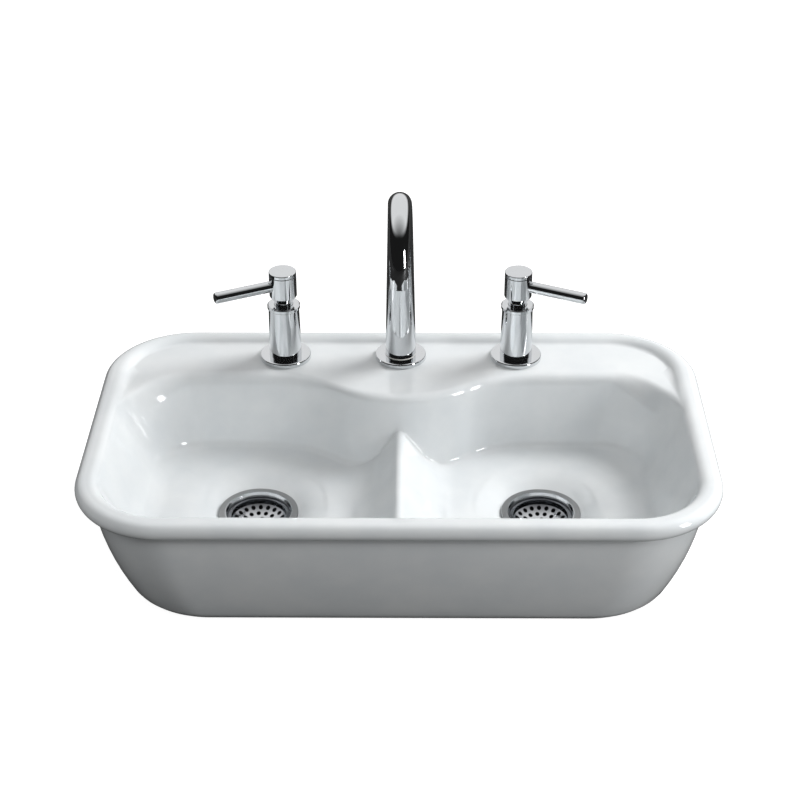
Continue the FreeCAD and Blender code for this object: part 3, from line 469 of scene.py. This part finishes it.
print("the deck's edge lies at", [round(float(wave(np.array(x))), 1) for x in (0.0, 95.0, 190.0)])

# %% [markdown]
# ## The height of the top side
# Now the sink can be put together from its sections. The rim and the walls go by the distance from the
# rim, the deck by the distance from its wave, the saddle by the distance from the middle, and each dish by
# the distance from its drain. At the deck's ends the potter's hand shows most: its level rises to the
# rim's there, and the groove between deck and rim fades out.

# %% Height of the top side


def rim_run(x, y):
    """Distance inwards from the flat of the rim, which is narrower at the back than at the sides and front.

    Beside a corner it is the corner's radius less the distance from the corner's centre, less the roll and
    the flat.
    """
    over_x, over_y = np.abs(x) - corner_x, np.abs(y) - corner_y
    turned = np.hypot(np.maximum(over_x, 0), np.maximum(over_y, 0))
    inset = outer_corner - roll_radius - turned - np.minimum(np.maximum(over_x, over_y), 0)
    to_back = np.where(y > 0, np.maximum(over_y, 0) / np.maximum(turned, outer_corner / 2), 0)
    return inset - rim_flat - (rim_flat_back - rim_flat) * smooth_step(to_back)


def bowl_height(side, back):
    """Bowls and deck by the distances from the mouth's side and back, and the blend of their joint to the rim.

    The side wall is capped by a ledge that eases from the rim's level to the deck's. It turns into the
    deck's wall by an eased share: half of the side's distance less the back's, in corner radii, plus a half.
    """
    corner = bowl_corner(round_min(side, back, (deck_corner + floor_corner) / 2))
    depth = round_min(side, back, corner)
    bias = (side - back) / corner
    ledge = basin_height - (basin_height - deck_level) * smooth_step((bias + 1) / ledge_share)
    by_side = -smooth_max(-wall_height(depth + mouth_run, *side_wall), -ledge, ledge_blend)
    by_deck = wall_height(depth, *deck_wall)
    bowl = by_side + (by_deck - by_side) * smooth_step(bias / 2 + 0.5)
    groove = smooth_step((bias + 1) / groove_share)
    groove = groove * smooth_step((bowl - floor_level - groove_start) / groove_rise)
    return bowl, groove_blend * groove


def top_height(x, y):
    """Larger of rim, bowls and saddle, each joint blended, less the depth of the dishes round the drains."""
    run = rim_run(x, y)
    bowl, blend = bowl_height(run - mouth_run, wave(x) - y)
    height = smooth_max(wall_height(run, *side_wall), bowl, blend)
    saddle = wall_height(np.abs(x), *saddle_wall)
    rise = np.minimum(height, saddle) - floor_level
    height = smooth_max(height, saddle, saddle_blend * smooth_step(rise / saddle_rise))
    from_drain = np.hypot(np.abs(x) - drain_x, y - drain_y)
    return height - (floor_level - wall_height(dish_radius - from_drain, *dish_wall))


across = np.array([0.0, 60.0, 100.0, drain_x, 350.0])
print("heights along the drains' line", np.round(top_height(across, np.full(5, drain_y)), 1))

# %% [markdown]
# ## A grid that follows the casting
# An even grid would need a million faces to hold the steep walls. Instead the grid's lines are set close
# together where a section bends, at even steps of the bend's angle, and further apart on the flats. Some
# lines lie on the edges of the squares that will become the holes. One line serves twice: 148 mm out lies
# the inner edge of both a drain's square and a tap's, so neither of them can move without the other.

# %% Helpers for grid lines


def lines(*knots):
    """Coordinates from knot to knot; a knot is a place and the number of even steps to the next one."""
    return np.concatenate([np.linspace(a, b, steps + 1) for (a, steps), (b, _) in zip(knots, knots[1:])])


def bend(radius, lean, count):
    """Runs along an arc from level to a lean off upright: the radius times the sine of even steps of angle."""
    return radius * np.sin(np.radians(np.linspace(0, 90 - lean, count + 1)))


def merged(*stretches):
    """All coordinates in rising order, each kept once."""
    return np.unique(np.round(np.concatenate(stretches), 6))


drain_hole, tap_hole, tap_ring = 46.0, 17.5, 18.0
crest_x, crest_y = half_width - roll_radius, half_depth - roll_radius
rim_x, rim_y = crest_x - rim_flat, crest_y - rim_flat
mouth_x = rim_x - mouth_run
side_bends, deck_bends = wall_bends(*side_wall), wall_bends(*deck_wall)
strip = mouth_run - side_bends[0]
edge_line, wall_line, wall_foot = deck_front - np.array(deck_bends)
print("side wall bends at", np.round(side_bends, 1), "deck wall bends at", np.round(deck_bends, 1))

# %% Lines of the grid
# Knots that are plain numbers only space the lines out.
rim_runs = np.concatenate([bend(rim_edge, wall_lean, 7), side_bends[2] - bend(floor_fillet, wall_lean, 7)])
deck_runs = np.concatenate([bend(deck_edge, deck_lean, 8), deck_bends[2] - bend(deck_fillet, deck_lean, 7)])
right_lines = merged(lines((0, 4), (6, 5), (tap_ring, 8), (40, 8), (75, 7), (115, 8), (drain_x - drain_hole, 10),
                           (tap_x + tap_ring, 14), (drain_x + drain_hole, 8), (280, 8),
                           (rim_x - side_bends[2], 0)),
                     lines((rim_x - side_bends[1], 5), (mouth_x - deck_bends[0], 0)),
                     lines((mouth_x, 8), (mouth_x + strip, 0)), lines((rim_x, 3), (crest_x, 0)),
                     rim_x - rim_runs, mouth_x - bend(deck_edge, deck_lean, 7))
x_lines = np.concatenate([-right_lines[:0:-1], right_lines])
y_lines = merged(lines((-crest_y, 3), (-rim_y, 0)), rim_runs - rim_y,
                 lines((side_bends[0] - rim_y, 5), (side_bends[1] - rim_y, 0)),
                 lines((side_bends[2] - rim_y, 12), (drain_y - drain_hole, 24), (drain_y + drain_hole, 15),
                       (wall_foot, 0)),
                 deck_front - deck_runs, lines((wall_line, 11), (edge_line, 0)),
                 lines((deck_front, 8), (deck_front + strip, 3), (tap_y - tap_ring, 10), (tap_y + tap_ring, 5),
                       (crest_y - 14, 8), (crest_y, 0)))
grid_x, grid_y = np.meshgrid(x_lines, y_lines, indexing="ij")
holes = [(side * drain_x, drain_y, drain_hole, drain_hole) for side in (-1, 1)]
holes += [(side * tap_x, tap_y, tap_ring, tap_hole) for side in (-1, 0, 1)]
print("grid", grid_x.shape)

# %% [markdown]
# ## Pushing the grid into shape
# A grid whose lines cut across a bend shows steps in the reflections, so the lines are pushed about until
# they run along the forms: with the wave of the deck, round the corners, and onto circles round the five
# holes. A square ring of lines becomes a circle when each of its points is moved along its own direction
# until it lies as far out as the square is wide. None of this changes the surface, only where its points lie.

# %% Lines along the wave and round the bowls' corners
fan_share, fan_limit, corner_fade = 0.6, 9.0, 70.0


def follow_wave(x, y):
    """Shift lines by how far the wave swings from the deck's front, times a share.

    The share is 1 at the deck's wall and falls evenly to nothing at the drains and at the tap holes.
    """
    share = np.interp(y, [drain_y + drain_hole, wall_foot, deck_front, tap_y - tap_ring], [0, 1, 1, 0])
    return y + (wave(x) - deck_front) * share


def round_bowl_corners(x, y):
    """Turn the back corners of the bowls on their radius; the lines just outside the mouth fan out there.

    A point at u and v from the corner's centre is scaled by the radius over the length of (u, v).
    """
    side, back = mouth_x - np.abs(x), deck_front - y
    level = np.minimum(side, back)
    corner = bowl_corner(level)
    u, v = corner - (side - level), corner - (back - level)
    gap = np.hypot(u, v) - corner
    fan = np.clip(-2 * level / strip, 0, 1) * np.minimum(fan_share * gap, fan_limit)
    scale = (corner + fan) / np.maximum(gap + corner, tiny)
    near = np.clip(2 * (level + strip) / strip, 0, 1) * np.clip((2 * corner_fade - level) / corner_fade, 0, 1)
    share = np.where((u > 0) & (v > 0), near, 0)
    return x - np.sign(x) * share * (u - u * scale), y - share * (v - v * scale)


top_x, top_y = round_bowl_corners(grid_x, follow_wave(grid_x, grid_y))
print("lines moved by up to", round(float(np.hypot(top_x - grid_x, top_y - grid_y).max()), 1), "mm")

# %% Lines round the rim's corners and the holes
hole_reach, past_hole = 0.8, 1.001


def round_corners(x, y, centre_x, low, high):
    """Turn square corners beyond a rectangle of corner centres into quarter circles about them.

    A point's two offsets from the centre are scaled by the larger one over the length of both.
    """
    over_x = np.maximum(np.abs(x) - centre_x, 0)
    over_y = np.maximum(np.maximum(y - high, low - y), 0)
    scale = np.maximum(over_x, over_y) / np.maximum(np.hypot(over_x, over_y), tiny)
    both = (over_x > 0) & (over_y > 0)
    shift_y = np.where(y > high, over_y, -over_y) * (scale - 1)
    return x + np.where(both, np.sign(x) * over_x * (scale - 1), 0), y + np.where(both, shift_y, 0)


def round_holes(x, y):
    """Move the square rings round each hole onto circles; returns points and their place in hole widths.

    A point's offsets from the hole are scaled by its place times the hole's radius over their length.
    """
    width = np.full(x.shape, np.inf)
    for hole_x, hole_y, ring, radius in holes:
        off_x, off_y = grid_x - hole_x, grid_y - hole_y
        square = np.maximum(np.abs(off_x), np.abs(off_y)) / ring
        scale = square * radius / np.maximum(np.hypot(off_x, off_y), tiny)
        share = 1 - smooth_step((square - 1) / hole_reach)
        x = x + share * off_x * (scale - 1)
        y = y + share * off_y * (scale - 1)
        width = np.minimum(width, square)
    return x, y, width


top_x, top_y = round_corners(top_x, top_y, corner_x, -corner_y, corner_y)
top_x, top_y, hole_width = round_holes(top_x, top_y)
top_points = np.stack([top_x, top_y, top_height(top_x, top_y)], axis=-1)
spread = np.cross(np.diff(top_points[:, :-1, :2], axis=0), np.diff(top_points[:-1, :, :2], axis=1))
print("folded cells in plan:", int((spread[hole_width[:-1, :-1] > past_hole] <= 0).sum()))

# %% [markdown]
# ## The outside of the casting
# From outside one sees the half-round rim, a small hollow under it, the apron that bulges and tapers to
# its foot, and behind the foot the inner face of the skirt. A profile swept round a path would make it, but
# the front of the apron tapers and its back stands steep. So each row of the profile has its own half
# width, front, back, corner radius and height. First come the rows: an inset from the rim and a height.

# %% Rows of the outside
apron_inset, apron_top, apron_foot, apron_back = 18.0, 5.0, 20.0, 2.0
foot_edge, skirt_wall, rim_fillet = 32.0, 13.0, 4.5
rim_under = basin_height - 2 * roll_radius
top_turn, foot_turn = math.radians(apron_top), math.radians(apron_foot)
foot_rise = foot_edge * (1 - math.sin(foot_turn))
bulge = (rim_under - foot_rise) / (math.sin(foot_turn) - math.sin(top_turn))
foot_inset = apron_inset + bulge * (math.cos(top_turn) - math.cos(foot_turn)) + foot_edge * math.cos(foot_turn)

angle = np.linspace(0, math.pi, 16)[1:]
roll_rows = np.stack([roll_radius * (1 - np.sin(angle)), rim_under + roll_radius * (1 + np.cos(angle))], 1)
angle = np.linspace(0, math.pi / 2, 5)
fillet_rows = np.stack([apron_inset - rim_fillet * (1 - np.sin(angle)),
                        rim_under - rim_fillet * (1 - np.cos(angle))], 1)
angle = np.linspace(top_turn, foot_turn, 9)[1:]
bulge_rows = np.stack([apron_inset + bulge * (math.cos(top_turn) - np.cos(angle)),
                       rim_under - bulge * (np.sin(angle) - math.sin(top_turn))], 1)
angle = np.linspace(foot_turn, math.pi / 2, 8)[1:]
foot_rows = np.stack([foot_inset - foot_edge * np.cos(angle), foot_edge * (1 - np.sin(angle))], 1)
outside = np.concatenate([fillet_rows[1:], bulge_rows, foot_rows])
inner_shares = np.array([0, 0.35, 0.7])
inner_level = inner_shares * floor_under
inner_inset = np.interp(inner_level, outside[::-1, 1], outside[::-1, 0]) + skirt_wall
rows = np.concatenate([roll_rows, fillet_rows[:1], outside, np.stack([inner_inset, inner_level], 1)])
print(len(rows), "rows; the apron bulges on a radius of", round(bulge), "mm; foot inset", round(foot_inset, 1))

# %% [markdown]
# ## Carrying the rows round
# Each row is a rounded rectangle round the sink. A curve object with a bevel would put its points where it
# likes. Here they are tied to the points on the edge of the top's grid, by the same share along a straight
# side or the same direction in a corner, so that the outside and the top meet point to point.

# %% Carry the rows round the corners
apron_corner, apron_corner_gain = 108.0, 3.0


def back_inset(inset, level):
    """Inset of the back: on the rim as at the front, and below it that of the apron's steep back.

    That is the apron's inset at the top plus the drop below the rim times the tangent of the back's lean.
    """
    steep = apron_inset + (rim_under - level) * math.tan(math.radians(apron_back))
    return np.where(level < rim_under - rim_fillet / 2, np.minimum(inset, steep), inset)


def corner_at(inset, level):
    """Corner radius of a row: the rim's less the inset, and on the apron a base plus a gain by its level."""
    return np.where(level < rim_under, apron_corner + apron_corner_gain * level / rim_under, outer_corner - inset)


row_back, row_corner = back_inset(rows[:, 0], rows[:, 1]), corner_at(rows[:, 0], rows[:, 1])
inner = slice(-len(inner_level), None)
row_back[inner] = back_inset(np.full(len(inner_level), foot_inset), inner_level) + skirt_wall
row_corner[inner] -= skirt_wall
x_count, y_count = grid_x.shape
loop = np.concatenate([np.stack([np.arange(x_count), np.zeros(x_count, int)], 1),
                       np.stack([np.full(y_count - 1, x_count - 1), np.arange(1, y_count)], 1),
                       np.stack([np.arange(x_count - 2, -1, -1), np.full(x_count - 1, y_count - 1)], 1),
                       np.stack([np.zeros(y_count - 2, int), np.arange(y_count - 2, 0, -1)], 1)])
loop_x, loop_y = grid_x[loop[:, 0], loop[:, 1]], grid_y[loop[:, 0], loop[:, 1]]
core_x, core_y = np.clip(loop_x, -corner_x, corner_x), np.clip(loop_y, -corner_y, corner_y)
face = np.stack([loop_x - core_x, loop_y - core_y])
face = face / np.hypot(face[0], face[1])
straight_x = (half_width - rows[:, 0] - row_corner)[:, None] * core_x / corner_x
row_front, row_rear = rows[:, 0] + row_corner - half_depth, half_depth - row_back - row_corner
straight_y = row_front[:, None] + (row_rear - row_front)[:, None] * (core_y / corner_y + 1) / 2
outside_points = np.stack([straight_x + row_corner[:, None] * face[0], straight_y + row_corner[:, None] * face[1],
                           np.repeat(rows[:, 1:], len(loop), axis=1)], axis=-1)
print(len(rows), "rows of", len(loop), "points")

# %% [markdown]
# ## The underside
# Under the sink there are two levels, one below the bowls for the drains' washers and one below the deck
# for the taps' washers. An even offset of the top would follow every dish, but nobody sees more of it, so
# it stays plain. It takes the top's grid, drawn in to the skirt, because two sheets with one grid can be
# joined without any search.

# %% Two levels under the sink
hole_margin, deck_hollow_end = 15.0, 75.0
ring_inset = np.interp(floor_under, outside[::-1, 1], outside[::-1, 0]) + skirt_wall
ring_back = half_depth - float(back_inset(np.array(foot_inset), np.array(floor_under))) - skirt_wall
ring_corner = float(corner_at(ring_inset, floor_under)) - skirt_wall
drain_side, drain_near = drain_x + drain_hole + hole_margin, drain_y - drain_hole - hole_margin
low_x = np.sign(grid_x) * np.interp(np.abs(grid_x), [0, drain_side, crest_x],
                                    [0, drain_side, half_width - ring_inset])
low_y = np.interp(follow_wave(grid_x, grid_y), [-crest_y, drain_near, tap_y + tap_ring, crest_y],
                  [ring_inset - half_depth, drain_near, tap_y + tap_ring, ring_back])
low_x, low_y = round_corners(low_x, low_y, half_width - ring_inset - ring_corner,
                             ring_inset - half_depth + ring_corner, ring_back - ring_corner)
low_x, low_y, _ = round_holes(low_x, low_y)
behind = (grid_y > deck_front - 1) & (grid_y < crest_y - 1) & (np.abs(grid_x) < crest_x - deck_hollow_end)
low_points = np.stack([low_x, low_y, np.where(behind, deck_under, floor_under)], axis=-1)
print("underside at", round(floor_under, 1), "under the bowls and", round(deck_under, 1), "under the deck")

# %% [markdown]
# ## Joining the sheets
# A casting has no open edges. Boolean cuts could open the holes, but they leave slivers in a glaze that
# mirrors everything. Here the top and the underside share one grid, so the wall of a hole is a strip of
# faces between the same edges of both, and the outside's rows run between the rims of the two sheets. Cells
# inside a hole are left out, and points that no face uses are dropped.

# %% Faces of the casting


def cell_faces(number, keep):
    """Quads of a numbered grid, counter-clockwise from above, for the cells that are kept."""
    quads = np.stack([number[:-1, :-1], number[1:, :-1], number[1:, 1:], number[:-1, 1:]], -1)
    return quads[keep]


def hole_faces(top, low, keep):
    """Strips between two sheets along every edge that has a kept cell on one side only."""
    strips = []
    ends = {0: (np.s_[1:-1, 1:], np.s_[1:-1, :-1]), 1: (np.s_[:-1, 1:-1], np.s_[1:, 1:-1])}
    for axis, (first, second) in ends.items():
        change = np.diff(keep.astype(int), axis=axis)
        wall = np.stack([top[first], top[second], low[second], low[first]], -1)
        strips += [wall[change < 0], wall[change > 0][:, ::-1]]
    return np.concatenate(strips)


cell_width = np.max([hole_width[:-1, :-1], hole_width[1:, :-1], hole_width[1:, 1:], hole_width[:-1, 1:]], axis=0)
keep = cell_width > past_hole
top_number = np.arange(grid_x.size).reshape(grid_x.shape)
low_number = top_number + grid_x.size
row_number = np.arange(len(rows) * len(loop)).reshape(len(rows), len(loop)) + 2 * grid_x.size
row_number = np.concatenate([top_number[loop[:, 0], loop[:, 1]][None], row_number,
                             low_number[loop[:, 0], loop[:, 1]][None]])
around = np.roll(row_number, -1, axis=1)
side_faces = np.stack([row_number[:-1], row_number[1:], around[1:], around[:-1]], -1).reshape(-1, 4)
basin_faces = np.concatenate([cell_faces(top_number, keep), cell_faces(low_number, keep)[:, ::-1],
                              hole_faces(top_number, low_number, keep), side_faces])
print("cells left out in holes:", int((~keep).sum()))

# %% The glazed casting
basin_points = np.concatenate([top_points.reshape(-1, 3), low_points.reshape(-1, 3),
                               outside_points.reshape(-1, 3)])
used = np.zeros(len(basin_points), bool)
used[basin_faces.ravel()] = True
renumber = np.cumsum(used) - 1
add_piece("glazed_basin", basin_points[used], renumber[basin_faces], "porcelain", "sink", ["basin"])

# %% [markdown]
# ## The floor
# The sink stands on white paper that keeps its soft shadow. Lighting the paper until it turns white would
# burn out the porcelain. So the paper glows nearly white, but only for rays that are seen, and the light
# that falls on it comes on top, less where the sink shades it. Light Path tells the kinds of ray apart.

# %% White paper floor


def flat_sheet(name, half, level, material):
    """Square sheet about the origin at a level in metres, which is no part of the object."""
    corners = [(-half, -half, level), (half, -half, level), (half, half, level), (-half, half, level)]
    mesh = bpy.data.meshes.new(name)
    mesh.from_pydata(corners, [], [(0, 1, 2, 3)])
    mesh.materials.append(material)
    sheet = bpy.data.objects.new(name, mesh)
    bpy.context.scene.collection.objects.link(sheet)
    return sheet


def seen_by(owner, *rays):
    """1 for the kinds of ray named and 0 for all others, as a node and its output."""
    path = add_node(owner, "ShaderNodeLightPath")
    either = (path, rays[0])
    for ray in rays[1:]:
        larger = add_node(owner, "ShaderNodeMath", {"operation": "MAXIMUM"}, {0: either, 1: (path, ray)})
        either = (larger, "Value")
    return either


stage_half, paper_glow = 6.0, 0.94
paper_level, card_level = -0.2 * MM, 0.3 * MM
paper, shader = new_material("white_paper_floor", Base_Color=linear("#A8A8A8"), Roughness=0.9)
white = add_node(paper, "ShaderNodeEmission", None, {"Color": (1, 1, 1, 1), "Strength": paper_glow})
lit_white = add_node(paper, "ShaderNodeAddShader", None, {0: (shader, "BSDF"), 1: (white, "Emission")})
choice = add_node(paper, "ShaderNodeMixShader", None,
                  {"Fac": seen_by(paper, "Is Camera Ray", "Is Glossy Ray", "Is Transmission Ray"),
                   1: (shader, "BSDF"), 2: (lit_white, "Shader")})
link(paper, choice, "Shader", paper.node_tree.nodes["Material Output"], "Surface")
flat_sheet("studio_floor", stage_half, paper_level, paper)
print("floor", 2 * stage_half, "m wide")

# %% [markdown]
# ## A dark card
# In the picture the chrome has black edges, as if it mirrored a dark table and a dark room. A
# photographer lays black card round polished metal to get them. Here a dark card covers the floor. The
# camera looks straight through it to the white paper, and it casts no shadow, but chrome and glaze mirror
# it, and little light bounces up from it.

# %% Dark card over the floor
card, shader = new_material("dark_card", Base_Color=linear("#1E1E1E"), Roughness=0.8)
dark_card = flat_sheet("dark_card", stage_half, card_level, card)
dark_card.visible_camera = False
dark_card.visible_shadow = False
print("dark card, hidden from the camera")

# %% [markdown]
# ## The room
# The bright oval on the spout's bow is a pale sheet over and behind the sink that fades towards the front.
# A glowing sheet would do it, but would also light the porcelain. In the world, each kind of ray can be
# given its own level: mirrored rays see the pale patch in a dark room, rays that carry soft light see an
# even dim grey, and the camera sees plain white. The patch is the part of the sky within some angle of a
# direction, which the dot product of the two gives.

# %% World
patch_tilt, patch_edge, patch_core = math.radians(60), 0.42, 0.6
dark_from, bright_from = -0.55, 0.3
patch_level, room_level, fill_level = 0.88, 0.012, 0.09
world = bpy.data.worlds.new("studio")
bpy.context.scene.world = world
world.use_nodes = True
backdrop = world.node_tree.nodes["Background"]
backdrop.inputs["Color"].default_value = (1, 1, 1, 1)
place = add_node(world, "ShaderNodeTexCoord")
above = add_node(world, "ShaderNodeVectorMath", {"operation": "DOT_PRODUCT"},
                 {0: (place, "Generated"), 1: (0, math.cos(patch_tilt), math.sin(patch_tilt))})
patch = add_node(world, "ShaderNodeMapRange", {"interpolation_type": "SMOOTHSTEP"},
                 {"Value": (above, "Value"), "From Min": patch_edge, "From Max": patch_core})
split = add_node(world, "ShaderNodeSeparateXYZ", None, {"Vector": (place, "Generated")})
fade = add_node(world, "ShaderNodeMapRange", None,
                {"Value": (split, "Y"), "From Min": dark_from, "From Max": bright_from, "To Min": 0.0,
                 "To Max": patch_level})
room = add_node(world, "ShaderNodeMath", {"operation": "MULTIPLY_ADD"},
                {0: (patch, "Result"), 1: (fade, "Result"), 2: room_level})
fill = add_node(world, "ShaderNodeMix", None,
                {"Factor": seen_by(world, "Is Diffuse Ray"), "A": (room, "Value"), "B": fill_level})
level = add_node(world, "ShaderNodeMath", {"operation": "MAXIMUM"},
                 {0: (fill, "Result"), 1: seen_by(world, "Is Camera Ray", "Is Transmission Ray")})
link(world, level, "Value", backdrop, "Strength")
print("world: patch", patch_level, "room", room_level, "soft fill", fill_level)

# %% [markdown]
# ## The lamps
# The porcelain is lit from above, behind and the right: the deck and the saddle's right flank are nearly
# white, and the left of the saddle lies in shade. One large lamp gives that. A dim one overhead and one in
# front keep the walls and the apron readable, and two low ones reach only the apron's ends. Their
# rectangles would show in the chrome, so mirrors don't see them. The last lamp is a narrow window, which
# chrome and glaze do mirror: it draws the small bright lights on the bends.

# %% Lamps


def facing(place, aim):
    """Own axes of a lamp or camera that looks at a point: to its right, upward, and away from the point.

    Right is the upright direction crossed with away, and upward is away crossed with right.
    """
    away = (np.array(place) - np.array(aim)) / np.linalg.norm(np.array(place) - np.array(aim))
    right = np.cross((0, 0, 1), away)
    right = right / np.linalg.norm(right)
    return right, np.cross(away, right), away


def set_up(item, place, right, upward, away):
    """Put an object into the scene at a place in metres, with its axes turned to three directions."""
    pose = np.eye(4)
    pose[:3, 0], pose[:3, 1], pose[:3, 2], pose[:3, 3] = right, upward, away, place
    bpy.context.scene.collection.objects.link(item)
    item.matrix_world = Matrix(pose.tolist())


lamps = [  # name, place, height it aims at, width and height in metres, watts, mirrored or not
    ("key_soft", (2.5, 1.4, 2.4), 0.15, (1.6, 1.6), 128, False),
    ("top_soft", (0.0, 0.2, 2.4), 0.1, (2.4, 1.2), 5, False),
    ("front_fill", (-0.2, -1.9, 2.1), 0.1, (3.0, 0.8), 22, False),
    ("low_left", (-2.3, -0.7, 0.12), 0.1, (0.6, 0.24), 7, False),
    ("low_right", (2.3, -0.7, 0.12), 0.1, (0.6, 0.24), 11, False),
    ("window_right", (2.1, -1.1, 0.7), 0.2, (0.4, 1.1), 20, True),
]
for name, place, aim_height, size, watts, mirrored in lamps:
    lamp = bpy.data.lights.new(name, "AREA")
    lamp.shape = "RECTANGLE"
    lamp.size, lamp.size_y = size
    lamp.energy = watts
    holder = bpy.data.objects.new(name, lamp)
    holder.visible_glossy = mirrored
    set_up(holder, place, *facing(place, (0, 0, aim_height)))
print(len(lamps), "lamps of", sum(watts for *_, watts, _ in lamps), "W")

# %% [markdown]
# ## The camera
# The picture was taken from two metres in front and 1.3 m above the rim, a touch to the right, with a long
# lens. A camera could be moved by eye until the view looks right. Here its place, its lens and a very small
# roll come from fitting the outline of the rim, so that the render lies over the picture. The lens is given
# in pixels of an 800-pixel picture, which holds for any sensor.

# %% Camera at the picture's angle
lens_pixels, image_pixels, sensor, roll_angle = 1798.0, 800, 36.0, math.radians(-0.23)
rim_middle = basin_height - roll_radius
eye = np.array([24.2, -2056.5, 1313.2 + rim_middle]) * MM
aim = np.array([0, 73.0, rim_middle]) * MM
right, upward, away = facing(eye, aim)
right, upward = (math.cos(roll_angle) * right + math.sin(roll_angle) * upward,
                 math.cos(roll_angle) * upward - math.sin(roll_angle) * right)
camera_data = bpy.data.cameras.new("camera")
camera_data.sensor_width = sensor
camera_data.lens = lens_pixels / image_pixels * sensor
camera = bpy.data.objects.new("camera", camera_data)
set_up(camera, eye, right, upward, away)
bpy.context.scene.camera = camera
bpy.context.scene.view_settings.view_transform = "Standard"
print("lens", round(camera_data.lens, 1), "mm,", round(float(np.linalg.norm(eye - aim)), 2), "m from the sink")
